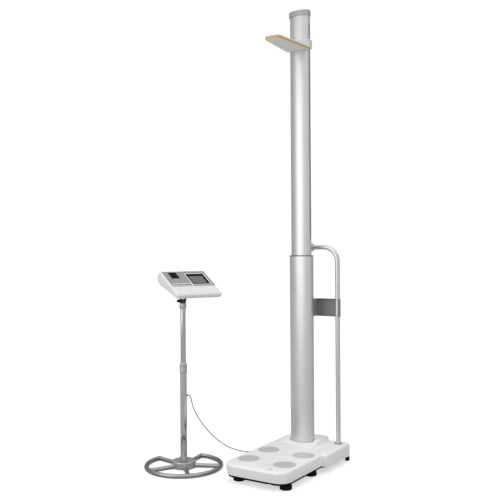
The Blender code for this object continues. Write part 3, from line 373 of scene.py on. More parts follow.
def display_finish():
    """Unlit liquid crystal glass: grey with the faint grid of its cells."""
    cell, line = 0.0012, 0.0001
    made = finish("display_glass", (0.150, 0.145, 0.145), 0.40, contrast=0.05, scale=30.0, bump=0.01,
                  specular=0.25)
    tree = made.node_tree
    shader = tree.nodes["Principled BSDF"]
    place = tree.nodes.new("ShaderNodeTexCoord")
    grid = tree.nodes.new("ShaderNodeTexBrick")
    grid.offset = 0.0
    grid.inputs["Color1"].default_value = (1, 1, 1, 1)
    grid.inputs["Color2"].default_value = (0.96, 0.96, 0.96, 1)
    grid.inputs["Mortar"].default_value = (0.78, 0.78, 0.78, 1)
    grid.inputs["Scale"].default_value = 1.0
    grid.inputs["Mortar Size"].default_value = line
    grid.inputs["Brick Width"].default_value = cell
    grid.inputs["Row Height"].default_value = cell
    turn = tree.nodes.new("ShaderNodeMapping")
    turn.inputs["Rotation"].default_value = (0, 0, -CONSOLE_TURN)
    shade = tree.nodes.new("ShaderNodeMix")
    shade.data_type = "RGBA"
    shade.blend_type = "MULTIPLY"
    shade.inputs["Factor"].default_value = 1.0
    source = shader.inputs["Base Color"].links[0].from_socket
    tree.links.new(place.outputs["Object"], turn.inputs["Vector"])
    tree.links.new(turn.outputs["Vector"], grid.inputs["Vector"])
    tree.links.new(source, shade.inputs["A"])
    tree.links.new(grid.outputs["Color"], shade.inputs["B"])
    tree.links.new(shade.outputs["Result"], shader.inputs["Base Color"])


def mix_finishes():
    """Every finish of the scale, with its colour and roughness first."""
    along_z, along_y, along_x = (1, 1, 0.015), (1, 0.03, 1), (0.05, 1, 1)     # brushing
    # mouldings
    finish("white_shell", (0.80, 0.80, 0.80), 0.42, contrast=0.02, grain=1400, bump=0.06, edge=0.02,
           dust=0.05)
    finish("console_white", (0.71, 0.71, 0.725), 0.40, contrast=0.02, grain=1400, dust=0.03)
    finish("panel_grey", (0.265, 0.265, 0.260), 0.45, contrast=0.03, grain=1800)
    finish("key_grey", (0.33, 0.33, 0.33), 0.5, contrast=0.03, grain=1800, edge=0.08)
    finish("cap_grey", (0.42, 0.42, 0.42), 0.42, metallic=0.4, grain=1200, edge=0.05)
    finish("head_grey", (0.66, 0.68, 0.68), 0.45, contrast=0.03, grain=1300, bump=0.07, edge=0.04, dust=0.04)
    finish("head_underside", (0.82, 0.84, 0.84), 0.5, grain=1300, bump=0.07)
    finish("orange_edging", (0.82, 0.36, 0.018), 0.5, contrast=0.08, grain=1500)
    # pale: the real outline strip round the keys, and a painted highlight as the display's rim
    finish("pale_outline_and_painted_highlight", (0.86, 0.86, 0.86), 0.40, contrast=0.03, grain=1500)
    # metals
    finish("column_silver", (0.66, 0.665, 0.67), 0.36, metallic=0.85, contrast=0.025, scale=4.0, spread=0.04,
           grain=2400, stretch=along_z, depth=0.0001)
    finish("brushed_plate", (0.55, 0.55, 0.57), 0.42, metallic=0.25, contrast=0.05, grain=1500,
           stretch=along_y, bump=0.08, depth=0.0001)
    finish("rail_silver", (0.64, 0.645, 0.635), 0.30, metallic=0.75, contrast=0.03, grain=1500, bump=0.03,
           depth=0.0001)
    finish("pole_chrome", (0.58, 0.58, 0.57), 0.10, metallic=1.0, contrast=0.03, spread=0.06, grain=700,
           bump=0.02, depth=0.0001, dust=0.02)
    finish("ring_steel", (0.34, 0.34, 0.33), 0.22, metallic=0.95, contrast=0.08, scale=25, spread=0.10,
           bump=0.04, depth=0.0001, edge=0.10, dust=0.06)
    finish("hub_steel", (0.45, 0.45, 0.43), 0.40, metallic=0.85, contrast=0.10, scale=30, spread=0.10,
           grain=1100, bump=0.06, edge=0.20, dust=0.10)
    finish("plain_steel", (0.52, 0.52, 0.53), 0.33, metallic=1.0, contrast=0.08, grain=1500,
           stretch=along_x, bump=0.06, edge=0.10)
    finish("screw_steel", (0.30, 0.30, 0.30), 0.35, metallic=1.0, contrast=0.10, grain=1600, edge=0.25)
    # dark grey: the plate's own colour, darkened further as painted shade for the shadow it sits in behind
    # the post
    finish("dark_bracket_and_painted_shade", (0.205, 0.212, 0.210), 0.46, contrast=0.05, grain=1600, bump=0.08, edge=0.12,
           dust=0.03)
    # black pieces
    finish("black_frame", (0.003, 0.003, 0.003), 0.55, contrast=0.10, grain=1200, bump=0.08, edge=0.01,
           specular=0.1)
    finish("black_rubber", (0.005, 0.005, 0.005), 0.65, contrast=0.15, grain=1500, bump=0.12, edge=0.01,
           dust=0.02, specular=0.12)
    finish("black_plastic", (0.016, 0.016, 0.016), 0.38, contrast=0.10, grain=1500, bump=0.08, edge=0.05)
    finish("black_window", (0.002, 0.002, 0.002), 0.50, contrast=0.05, bump=0.01, specular=0.05)
    finish("smoke_window", (0.006, 0.006, 0.006), 0.40, contrast=0.05, bump=0.01, specular=0.08)
    finish("motor_black", (0.03, 0.03, 0.035), 0.4, metallic=0.3, contrast=0.10, edge=0.10)
    # paper, cable and glass
    finish("paper_white", (0.82, 0.81, 0.78), 0.85, contrast=0.03, grain=2500)
    finish("cable_grey", (0.19, 0.19, 0.19), 0.5, contrast=0.08, scale=60, grain=1600, bump=0.06)
    finish("vial_glass", (0.22, 0.30, 0.16), 0.10, contrast=0.10, scale=200, bump=0.01, coat=0.9)
    display_finish()


mix_finishes()


# ---------------------------------------------------------------- shapes

def loft(loops, closed=False):
    """Skins loops of equal length; the ends are capped, or joined to each other."""
    shape = bmesh.new()
    rows = [[shape.verts.new(point) for point in loop] for loop in loops]
    pairs = list(zip(rows, rows[1:]))
    if closed:
        pairs.append((rows[-1], rows[0]))
    for low, high in pairs:
        for i in range(len(low)):
            j = (i + 1) % len(low)
            shape.faces.new((low[i], low[j], high[j], high[i]))
    if not closed:
        shape.faces.new(rows[0])
        shape.faces.new(rows[-1])
    return shape


def arc(center, radius, start, end, steps):
    points = []
    for i in range(steps + 1):
        angle = math.radians(start + (end - start) * i / steps)
        points.append((center[0] + radius * math.cos(angle), center[1] + radius * math.sin(angle)))
    return points


def turned(profile, sides, closed=False, flutes=0, flute_depth=0.0):
    """Solid of revolution about Z from (radius, height) points; a third number marks the fluted rows."""
    loops = []
    for row in profile:
        radius, z = row[:2]
        depth = flute_depth if len(row) > 2 else 0.0
        loop = []
        for i in range(sides):
            angle = 2 * math.pi * i / sides
            wave = 0.5 - 0.5 * math.cos(flutes * angle)
            reach = radius - depth * wave
            loop.append((reach * math.cos(angle), reach * math.sin(angle), z))
        loops.append(loop)
    return loft(loops, closed=closed)


def sweep(points, radius, sides, up=UP):
    """Round bar along points, mitred at each one."""
    path = [Vector(point) for point in points]
    turns = [2 * math.pi * k / sides for k in range(sides)]
    loops = []
    for i, point in enumerate(path):
        before = (path[i] - path[i - 1]).normalized() if i else None
        after = (path[i + 1] - path[i]).normalized() if i < len(path) - 1 else None
        stretch = 1.0
        along = before or after
        if before and after:
            along = (before + after).normalized()
            stretch = 1 / max(along.dot(after), 0.5)
        side = along.cross(up).normalized()
        rise = side.cross(along).normalized()
        wide, tall = side * radius * stretch, rise * radius
        loops.append([point + wide * math.cos(turn) + tall * math.sin(turn) for turn in turns])
    return loft(loops)


def round_corners(spot_x, spot_y, radius, steps):
    """Outline made of four quarter arcs about (+-spot_x, +-spot_y)."""
    points = []
    for sx, sy, start in ((1, 1, 0), (-1, 1, 90), (-1, -1, 180), (1, -1, 270)):
        points += arc((sx * spot_x, sy * spot_y), radius, start, start + 90, steps)
    return points


def rounded_plate(size, low, high, corner, soften):
    """Plate with round corners in plan and a softened upper edge, about the origin."""
    spot_x, spot_y = size[0] / 2 - corner, size[1] / 2 - corner

    def row(inset, z):
        return [(x, y, z) for x, y in round_corners(spot_x, spot_y, max(corner - inset, 0.0001), 6)]

    loops = [row(0, low)]
    for angle in (0, 30, 60, 90):
        turn = math.radians(angle)
        loops.append(row(soften * (1 - math.cos(turn)), high - soften + soften * math.sin(turn)))
    return loft(loops)


def frame_plate(outer, inner, low, high, corner):
    """Flat frame with a rectangular opening, whose corners are half as round."""
    loops = []
    for size, radius, z in ((outer, corner, low), (outer, corner, high),
                            (inner, corner / 2, high), (inner, corner / 2, low)):
        outline = round_corners(size[0] / 2 - radius, size[1] / 2 - radius, radius, 4)
        loops.append([(x, y, z) for x, y in outline])
    return loft(loops, closed=True)


def block(low, high):
    corners = ((low[0], low[1]), (high[0], low[1]), (high[0], high[1]), (low[0], high[1]))
    return loft([[(x, y, z) for x, y in corners] for z in (low[2], high[2])])


def screw(radius, height):
    """Pan head with a hexagon socket."""
    socket = 0.45                             # of the radius
    rows = [(radius, 0), (radius, height * 0.45), (radius * 0.93, height * 0.75), (radius * 0.72, height)]
    head = turned(rows, 24)
    face = [f for f in head.faces if all(abs(v.co.z - height) < 1e-7 for v in f.verts)][0]
    bmesh.ops.inset_individual(head, faces=[face], thickness=radius * (0.72 - socket))
    bmesh.ops.translate(head, verts=face.verts, vec=(0, 0, -height * 0.6))
    return head


def merged(shapes):
    """Puts several closed shapes into one mesh."""
    whole = bmesh.new()
    for shape in shapes:
        mesh = mesh_of("scratch", shape)
        whole.from_mesh(mesh)
        bpy.data.meshes.remove(mesh)
    return whole


def moved(shape, place):
    """Moves a shape to a point, or by a matrix, and turns its faces outwards."""
    if place is not None:
        matrix = place if isinstance(place, Matrix) else Matrix.Translation(place)
        bmesh.ops.transform(shape, matrix=matrix, verts=shape.verts)
    bmesh.ops.recalc_face_normals(shape, faces=shape.faces)
    return shape


# ---------------------------------------------------------------- pieces

NODE_SLOT = {part["node"]: part["material_slot"] for part in frame["record"]["subparts"]}
NODE_BODY = {node: body for body, nodes in frame["record"]["behaviour"]["bodies"].items() for node in nodes}


def soften_edges(made, width, steps, limit):
    soften = made.modifiers.new("softened_edges", "BEVEL")
    soften.width, soften.segments, soften.angle_limit = width, steps, limit
    soften.limit_method = "ANGLE"
    soften.harden_normals = True


def piece(name, shape, look, body, replaces=(), slot=None, place=None, smooth=35.0, bevel=0.0, bevel_steps=3):
    """Links a shape as a named piece that rides on a body."""
    mesh = mesh_of(name, moved(shape, place))
    mesh.shade_smooth()
    mesh.set_sharp_from_angle(angle=math.radians(smooth))
    mesh.materials.append(LOOKS[look])
    made = linked(name, mesh)
    if bevel:
        soften_edges(made, bevel, bevel_steps, math.radians(smooth))
    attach(made, body)
    if replaces:
        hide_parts(*replaces)
    return made


def remade(node, name, shape, look, **more):
    """A new shape in the place of a CAD piece."""
    return piece(name, shape, look, NODE_BODY[node], (node,), NODE_SLOT[node], **more)


def node_shape(node):
    """The CAD piece's form with its corners welded and its flat faces whole."""
    shape = bmesh.new()
    shape.from_mesh(frame["nodes"][node].data)
    bmesh.ops.remove_doubles(shape, verts=shape.verts, dist=0.00002)
    flat = math.radians(0.5)
    bmesh.ops.dissolve_limit(shape, angle_limit=flat, verts=shape.verts, edges=shape.edges)
    return shape


def refined(node, look, name, bevel=0.0006, bevel_steps=3, smooth=30.0):
    """The CAD piece's form with softened edges and smooth curves."""
    return remade(node, name, node_shape(node), look, smooth=smooth, bevel=bevel, bevel_steps=bevel_steps)


def kept(node, look):
    """A CAD piece whose shape is right stays and gets its finish."""
    for slot in frame["nodes"][node].material_slots:
        slot.material = LOOKS[look]


def carve(target, shape, place=None):
    """Cuts a shape out of a piece, before its edges are softened."""
    tool = linked(target.name + "_groove", mesh_of(target.name + "_groove", moved(shape, place)))
    softened = [(m.width, m.segments, m.angle_limit) for m in target.modifiers if m.type == "BEVEL"]
    target.modifiers.clear()
    change = target.modifiers.new("groove", "BOOLEAN")
    change.operation = "DIFFERENCE"
    change.object = tool
    bpy.context.view_layer.update()
    cut = target.evaluated_get(bpy.context.evaluated_depsgraph_get())
    target.data = bpy.data.meshes.new_from_object(cut)
    target.modifiers.clear()
    bpy.data.objects.remove(tool, do_unlink=True)
    for width, steps, limit in softened:
        soften_edges(target, width, steps, limit)


def base_screw(name, radius, height, spot, facing):
    piece(name, screw(radius, height), "screw_steel", "base", slot="brushed_steel",
          place=Matrix.Translation(spot) @ facing)


def panel_place(x=0.0, y=0.0, z=0.0):
    """Matrix from the panel's own axes to the scene."""
    center = middle("console_panel") - OUT_OF_PANEL * PANEL_FACE
    spot = center + CONSOLE_X * x + UP_SLOPE * y + OUT_OF_PANEL * z
    turn = Matrix((CONSOLE_X, UP_SLOPE, OUT_OF_PANEL)).transposed().to_4x4()
    return Matrix.Translation(spot) @ turn


# ---------------------------------------------------------------- data cable

def smooth_points(route, steps):
    """Points along a smooth curve through the route's own points."""
    ends = [2 * route[0] - route[1]] + route + [2 * route[-1] - route[-2]]
    points = []
    for before, start, end, after in zip(ends, ends[1:], ends[2:], ends[3:]):
        bend = 2 * before - 5 * start + 4 * end - after
        twist = 3 * start - before - 3 * end + after
        for k in range(steps):
            t = k / steps
            points.append(0.5 * (2 * start + (end - before) * t + bend * t ** 2 + twist * t ** 3))
    points.append(route[-1])
    return points


def cable_route():
    """Out of the bush in the lower pole, down in a slack curve and on to the platform's socket."""
    outward = Vector((math.cos(CABLE_TURN), math.sin(CABLE_TURN), 0))
    start = half_width("lower_pole") + BUSH_REACH + GAP
    first = Vector((*POLE, middle("cable_grommet").z)) + outward * start
    plug_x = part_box("cable_plug")[0][0] - DECK.x
    plug_y = middle("cable_plug").y - DECK.y
    plug_z = middle("cable_plug").z
    lying = CABLE_RADIUS + 2 * GAP
    straight = 0.007
    return [first, first + outward * straight] + [Vector((x + DECK.x, y + DECK.y, z)) for x, y, z in (
        (-0.4478, -0.0965, 0.3555), (-0.4462, -0.0925, 0.3480), (-0.4450, -0.0890, 0.3365),
        (-0.4435, -0.0845, 0.3150), (-0.4395, -0.0750, 0.2860), (-0.4345, -0.0560, 0.2500),
        (-0.4235, -0.0180, 0.1960), (-0.4090, 0.0330, 0.1390), (-0.3950, 0.0830, 0.0950),
        (-0.3800, 0.1330, 0.0590), (-0.3660, 0.1830, 0.0330), (-0.3525, 0.2300, 0.0145),
        (-0.3380, 0.2640, 0.0050), (-0.3180, 0.2880, lying), (-0.2900, 0.3030, lying),
        (-0.2650, 0.3110, 0.0080), (-0.2430, 0.3155, 0.0250), (-0.2270, plug_y, 0.0440),
        (plug_x - 0.0150, plug_y, 0.0560), (plug_x - straight, plug_y, plug_z),
        (plug_x - GAP, plug_y, plug_z))]


def build_connector():
    """Ribbed body of the connector at the platform's end."""
    low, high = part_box("cable_plug")
    profile = [(0.0036, 0), (0.0052, 0.0012)]
    for rib in range(5):
        z = 0.0030 + rib * 0.0024
        profile += [(0.0050, z), (0.0060, z + 0.0003), (0.0060, z + 0.0012), (0.0050, z + 0.0015)]
    profile += [(0.0058, 0.0160), (0.0060, 0.0170), (0.0060, 0.0292), (0.0056, high[0] - low[0])]
    spot = middle("cable_plug")
    place = Matrix.Translation((low[0], spot.y, spot.z)) @ Matrix.Rotation(math.pi / 2, 4, "Y")
    return remade("cable_plug", "cable_connector", turned(profile, 32), "black_plastic", place=place,
                  smooth=40)


def out_of_pole():
    """Matrix that lays what stands up along the cable's way out of the pole, from the pole's axis."""
    turn = Matrix.Rotation(CABLE_TURN, 4, "Z") @ Matrix.Rotation(math.pi / 2, 4, "Y")
    return Matrix.Translation((*POLE, middle("cable_grommet").z)) @ turn


def build_bush():
    wall = half_width("lower_pole")
    inside, bore = wall - 0.0015, CABLE_RADIUS + 0.0004
    profile = [(0.0048, inside), (0.0048, wall + 0.0015), (0.0050, wall + 0.0018), (0.0050, wall + 0.0028),
               (0.0044, wall + 0.0036), (0.0040, wall + 0.0042), (0.0036, wall + BUSH_REACH),
               (bore, wall + BUSH_REACH), (bore, inside)]
    return remade("cable_grommet", "cable_bush", turned(profile, 32, closed=True), "black_rubber",
                  place=out_of_pole(), smooth=40)


def build_cable():
    """Grey data lead with its bush and its connector."""
    route = cable_route()
    points = smooth_points(route, 4)
    data = bpy.data.curves.new("data_lead", "CURVE")
    data.dimensions = "3D"
    data.bevel_depth = CABLE_RADIUS
    data.bevel_resolution = 3
    data.use_fill_caps = True
    line = data.splines.new("POLY")
    line.points.add(len(points) - 1)
    for spot, point in zip(line.points, points):
        spot.co = (*point, 1)
    line.use_smooth = True
    data.materials.append(LOOKS["cable_grey"])
    lead = linked("data_lead", data)
    plug, bush = build_connector(), build_bush()
    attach(lead, NODE_BODY["data_cable"])
    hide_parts("data_cable")


build_cable()


# ---------------------------------------------------------------- platform

def build_electrode(node):
    """Brushed disc with a fine groove inside its rim."""
    radius = half_width(node)
    rise = high_z(node) - low_z(node)
    rings = [(radius, 0), (radius, rise - 0.0006), (radius - 0.0003, rise - 0.00025), (radius - 0.0010, rise),
             (radius - 0.0030, rise), (radius - 0.0034, rise - 0.0003), (radius - 0.0038, rise - 0.0003),
             (radius - 0.0042, rise)]
    remade(node, node + "_disc", turned(rings, 72), "brushed_plate", place=foot_of(node), smooth=25)


def build_level():
    """Round bubble level: a ring and its domed glass."""
    spot = foot_of("level_vial")
    radius = half_width("level_vial")
    rise = high_z("level_vial") - spot.z
    ring = [(radius, 0), (radius, rise - 0.0003), (radius - 0.0003, rise), (radius - 0.0013, rise),
            (radius - 0.0016, rise - 0.0004), (radius - 0.0016, 0)]
    piece("level_ring", turned(ring, 40, closed=True), "key_grey", "base", ("level_vial",), "grey_plastic",
          place=spot)
    inner = radius - 0.0018
    dome = [(inner, 0.0002), (inner, rise - 0.0011), (inner * 0.8, rise - 0.0008),
            (inner * 0.4, rise - 0.0006)]
    piece("level_glass", turned(dome, 32), "vial_glass", "base", slot="screen_glass", place=spot, smooth=60)


def build_foot(node):
    """Rubber pad on a threaded stem, with its lock nut."""
    spot = foot_of(node)
    radius = half_width(node)
    top = high_z(node)
    pad, pitch = 0.020, 0.0014
    stem = min(0.006, radius * 0.5)
    profile = [(radius - 0.0030, 0), (radius - 0.0012, 0.0008), (radius, 0.0025), (radius, 0.0065),
               (radius - 0.0008, 0.0072), (radius - 0.0008, 0.0080), (radius, 0.0087), (radius, pad - 0.0040),
               (radius - 0.0010, pad - 0.0015), (radius - 0.0035, pad), (stem * 1.7, pad),
               (stem * 1.7, pad + 0.0010), (stem, pad + 0.0010)]
    z = pad + 0.0020
    while z < top - 0.0020:
        profile += [(stem, z), (stem * 0.86, z + pitch / 2)]
        z += pitch
    profile.append((stem, top))
    remade(node, node + "_pad", turned(profile, 48), "black_rubber", place=spot)
    nut = turned([(stem * 1.9, 0), (stem * 1.9, 0.0035), (stem * 1.7, 0.0040)], 6)
    piece(node + "_nut", nut, "screw_steel", NODE_BODY[node], slot="brushed_steel",
          place=(spot.x, spot.y, top - 0.0062), bevel=0.0003, smooth=30)


def build_sockets():
    refined("data_socket", "black_plastic", "socket_block", bevel=0.0005)
    refined("power_inlet", "black_plastic", "inlet_barrel", bevel=0.0004)
    spot = middle("power_inlet")
    spot.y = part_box("power_inlet")[0][1] + 0.0005
    pin = [(0.0010, 0), (0.0010, 0.0100), (0.0006, 0.0108)]
    piece("inlet_pin", turned(pin, 16), "plain_steel", "base", slot="brushed_steel",
          place=Matrix.Translation(spot) @ BACKWARD)


def build_platform():
    refined("platform_cover", "white_shell", "cover_shell", bevel=0.0014, smooth=28)
    refined("underframe", "black_frame", "steel_tray")
    for node in ELECTRODES:
        build_electrode(node)
    for number in range(1, 5):
        kept("load_cell_%d" % number, "plain_steel")
    kept("deck_plate", "plain_steel")
    build_level()
    for node in ["foot_%d" % number for number in range(1, 5)] + ["rear_foot_1", "rear_foot_2"]:
        build_foot(node)
    build_sockets()
    screw_z = low_z("underframe") - 0.0001
    for side, x in ((1, -0.145), (2, 0.145)):
        for y in (-0.165, 0.000, 0.250, 0.395):
            name = "tray_screw_%d_%d" % (side, round(y * 1000) + 300)
            base_screw(name, 0.0045, 0.0022, (DECK.x + x, DECK.y + y, screw_z), DOWNWARD)


# ---------------------------------------------------------------- column, cap and drive

SCREW_SINK = 0.0002               # of a screw's head into the face it sits on


def eased(node, look, name, ease, bevel):
    """A column profile whose front arch runs round into its sides instead of meeting them at a corner."""
    low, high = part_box(node)
    shape = node_shape(node)
    sides = [v for v in shape.verts if min(v.co.x - low[0], high[0] - v.co.x) < 0.0001]
    corner_y = min(v.co.y for v in sides)
    front = {v for v in sides if v.co.y < corner_y + 0.0001}
    edges = [e for e in shape.edges if all(v in front for v in e.verts) and
             abs(e.verts[0].co.x - e.verts[1].co.x) < 0.001]
    bmesh.ops.bevel(shape, geom=edges, offset=ease, offset_type="OFFSET", segments=8, profile=0.5,
                    affect="EDGES", clamp_overlap=True)
    remade(node, name, shape, look, smooth=24, bevel=bevel)


def build_column():
    eased("lower_column", "column_silver", "lower_profile", 0.011, 0.0006)
    eased("upper_column", "column_silver", "upper_profile", 0.009, 0.0005)
    eased("joint_trim", "black_plastic", "joint_line", 0.010, 0.0003)
    refined("base_seal", "black_rubber", "base_gasket", bevel=0.0004, smooth=22)
    refined("top_cap", "cap_grey", "end_cap", bevel=0.0016, bevel_steps=4, smooth=22)
    for node, look in (("drive_frame", "plain_steel"), ("drive_motor", "motor_black"),
                       ("drive_belt", "black_rubber"), ("carriage", "black_plastic"),
                       ("drive_pulley", "plain_steel"), ("idler_pulley", "plain_steel")):
        kept(node, look)
    back_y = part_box("lower_column")[1][1] - SCREW_SINK
    for z in (0.130, 0.170, 0.930, 1.020):
        for side in (-1, 1):
            name = "column_screw_%d_%d" % (round(z * 1000), side + 2)
            base_screw(name, 0.0040, 0.0020, (COLUMN_X + side * 0.038, back_y, z), BACKWARD)


def build_head():
    """Head piece: the paddle's underside has five fine grooves along it."""
    grooves, half, depth, length = 5, 0.0012, 0.0012, 0.200
    plate = refined("head_plate", "head_underside", "head_sole", bevel=0.0010, smooth=28)
    low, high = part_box("head_plate")
    pitch = (high[0] - low[0]) * 0.13
    start = low[1] + 0.022
    for groove in range(grooves):
        x = COLUMN_X + (groove - grooves // 2) * pitch
        carve(plate, block((x - half, start, low[2] - 0.01), (x + half, start + length, low[2] + depth)))
    refined("head_collar", "head_grey", "head_shell", bevel=0.0016, bevel_steps=4, smooth=28)
    refined("head_bumper", "orange_edging", "orange_strip", bevel=0.0007, smooth=28)


# ---------------------------------------------------------------- handrail

def build_rail():
    """Bent tube with its rose, saddle, plate and end plug."""
    low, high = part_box("rail_tube")
    radius = (high[1] - low[1]) / 2
    post_x = high[0] - radius
    top = high[2] - radius
    y = (low[1] + high[1]) / 2
    bend = arc((post_x - RAIL_BEND, top - RAIL_BEND), RAIL_BEND, 0, 90, 28)
    path = [(post_x, y, low[2])] + [(x, y, z) for x, z in bend] + [(low[0], y, top)]
    remade("rail_tube", "rail_pipe", sweep(path, radius, 40, up=Vector((0, 1, 0))), "rail_silver", smooth=60)
    domed = [(radius - 0.0006, 0), (radius - 0.0008, 0.0008), (radius - 0.003, 0.0022), (0.004, 0.0028)]
    piece("rail_end_plug", turned(domed, 40), "black_plastic", "base", slot="dark_plastic",
          place=Matrix.Translation((low[0], y, top)) @ Matrix.Rotation(-math.pi / 2, 4, "Y"), smooth=50)
    rose, bore = half_width("rail_flange"), radius + GAP
    rise = high_z("rail_flange") - low_z("rail_flange")
    ring = [(rose, 0), (rose, 0.0022), (rose - 0.0005, 0.0030), (rose - 0.0023, 0.0042),
            (rose - 0.0030, rise), (bore, rise), (bore, 0)]
    remade("rail_flange", "rail_rose", turned(ring, 48, closed=True), "ring_steel",
           place=foot_of("rail_flange"))
    refined("rail_clamp", "rail_silver", "rail_saddle", bevel=0.0015)
    # the plate's dark finish carries painted shade as well as its own colour
    refined("rail_bracket", "dark_bracket_and_painted_shade", "rail_plate", bevel=0.0007)

    clamp, clamp_back = middle("rail_clamp"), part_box("rail_clamp")[1][1]
    plate_low, plate_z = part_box("rail_bracket")[0], middle("rail_bracket").z
    plate_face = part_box("lower_column")[1][1] + GAP + 0.003
    for side in (-1, 1):
        base_screw("saddle_screw_%d" % (side + 2), 0.0032, 0.0020,
                   (clamp.x, clamp_back - SCREW_SINK, clamp.z + side * 0.0155), BACKWARD)
    for side in (-1, 1):
        base_screw("plate_screw_%d" % (side + 2), 0.0045, 0.0025,
                   (plate_low[0] + 0.016, plate_face - SCREW_SINK, plate_z + side * 0.028), BACKWARD)


# ---------------------------------------------------------------- console stand

def ray(radius, angle):
    """Point on the ring's level, at a radius and a bearing in degrees from the pole."""
    turn = math.radians(angle)
    return POLE_FOOT + Vector((radius * math.cos(turn), radius * math.sin(turn), RING_TUBE))


def build_ring():
    """Open ring with its spokes, and a weld bead where each of them meets the hub."""
    hub = half_width("stand_hub")
    angles = [FIRST_SPOKE - 360 / SPOKES * k for k in range(SPOKES)]
    start = hub + GAP
    rim = [POLE_FOOT + Vector((x, y, RING_TUBE))
           for x, y in arc((0, 0), RING_RADIUS, angles[0], angles[-1], 112)]
    bars = [sweep([ray(start, angles[0])] + rim + [ray(start, angles[-1])], RING_TUBE, 24)]
    for angle in angles[1:-1]:
        bars.append(sweep([ray(start, angle), ray(RING_RADIUS - 0.002, angle)], SPOKE_RADIUS, 24))
    remade("ring_base", "ring_foot", merged(bars), "ring_steel", smooth=40)

    beads = []
    for angle in angles:
        along = (ray(1, angle) - ray(0, angle)).normalized()
        turn = along.to_track_quat("Z", "Y").to_matrix().to_4x4()
        bead = turned([(0.0140, 0.0), (0.0136, 0.0012), (0.0118, 0.0030)], 28)
        moved(bead, Matrix.Translation(ray(hub - 0.0006, angle)) @ turn)
        for vert in bead.verts:
            vert.co.z = max(vert.co.z, 0.0002)
        beads.append(bead)
    piece("ring_welds", merged(beads), "hub_steel", "base", slot="brushed_steel", smooth=40)


def build_hub():
    """Hub with a groove round it and six socket screws on top."""
    hub, top = half_width("stand_hub"), high_z("stand_hub")
    profile = [(hub - 0.003, 0.001), (hub - 0.0012, 0.0016), (hub, 0.004), (hub, top - 0.0085),
               (hub - 0.0007, top - 0.0080), (hub - 0.0007, top - 0.0070), (hub, top - 0.0065),
               (hub, top - 0.0050), (hub - 0.0012, top - 0.0020), (hub - 0.0045, top - 0.0003),
               (hub - 0.0070, top), (0.0260, top), (0.0245, top - 0.0010), (0.0200, top - 0.0010)]
    remade("stand_hub", "hub_disc", turned(profile, 96), "hub_steel", place=POLE_FOOT, smooth=30)
    count, circle = 6, 0.043
    screws = []
    for k in range(count):
        turn = math.radians(30 + 360 / count * k)
        spot = Vector((circle * math.cos(turn), circle * math.sin(turn), top - 0.0001))
        screws.append(moved(screw(0.0050, 0.0048), POLE_FOOT + spot))
    piece("hub_screws", merged(screws), "screw_steel", "base", slot="brushed_steel", smooth=30)


def build_outer_tube():
    """Lower pole with a turned lip and the hole for the cable."""
    radius, low, high = half_width("lower_pole"), low_z("lower_pole"), high_z("lower_pole")
    inner, smooth = radius - POLE_WALL, 40
    profile = [(radius - 0.0004, low), (radius, low + 0.0005), (radius, high - 0.0006),
               (radius - 0.0006, high), (inner, high), (inner, low)]
    tube = remade("lower_pole", "outer_tube", turned(profile, 64, closed=True), "pole_chrome",
                  place=POLE_FOOT, smooth=smooth)
    carve(tube, turned([(0.0050, 0), (0.0050, 0.04)], 32), out_of_pole())
    tube.data.shade_smooth()
    tube.data.set_sharp_from_angle(angle=math.radians(smooth))


def build_twist_grip():
    """Fluted clamp collar on the lower pole."""
    low = low_z("twist_collar")
    radius, height = half_width("twist_collar"), high_z("twist_collar") - low
    bore = half_width("upper_pole") + GAP
    profile = [(radius - 0.0015, 0), (radius - 0.0003, 0.0006), (radius, 0.0016), (radius, 0.010),
               (radius - 0.0006, 0.0104), (radius - 0.0006, 0.0116), (radius, 0.0120), (radius, 0.0125, 1),
               (radius, height - 0.0095, 1), (radius, height - 0.009), (radius - 0.0006, height - 0.0086),
               (radius - 0.0006, height - 0.0076), (radius, height - 0.0072), (radius, height - 0.0040),
               (radius - 0.0030, height), (bore, height), (bore, 0)]
    grip = turned(profile, 144, closed=True, flutes=24, flute_depth=0.0007)
    remade("twist_collar", "twist_grip", grip, "plain_steel", place=POLE_FOOT + UP * low)


def build_inner_tube():
    radius, low, high = half_width("upper_pole"), low_z("upper_pole"), high_z("upper_pole")
    inner = radius - POLE_WALL
    profile = [(radius, low), (radius, high), (inner, high), (inner, low)]
    remade("upper_pole", "inner_tube", turned(profile, 64, closed=True), "pole_chrome", place=POLE_FOOT,
           smooth=40)


def build_top_collar():
    low = low_z("head_pole_collar")
    radius, height = half_width("head_pole_collar"), high_z("head_pole_collar") - low
    bore = half_width("upper_pole") + GAP
    profile = [(bore + 0.0008, 0), (bore + 0.0020, 0.0016), (radius - 0.0010, 0.0050), (radius, 0.0065),
               (radius, height - 0.008), (radius - 0.0006, height - 0.0076),
               (radius - 0.0006, height - 0.0066), (radius, height - 0.0062), (radius, height - 0.0006),
               (radius - 0.0006, height), (bore, height), (bore, 0)]
    remade("head_pole_collar", "top_collar", turned(profile, 64, closed=True), "plain_steel",
           place=POLE_FOOT + UP * low)


def build_stand():
    build_ring()
    build_hub()
    build_outer_tube()
    build_twist_grip()
    build_inner_tube()
    build_top_collar()
    refined("swivel_head", "black_plastic", "swivel_block", bevel=0.0008)
    refined("tilt_bracket", "black_plastic", "tilt_fork", bevel=0.0007)


# ---------------------------------------------------------------- console

def widened(size, by):
    return (size[0] + by, size[1] + by)


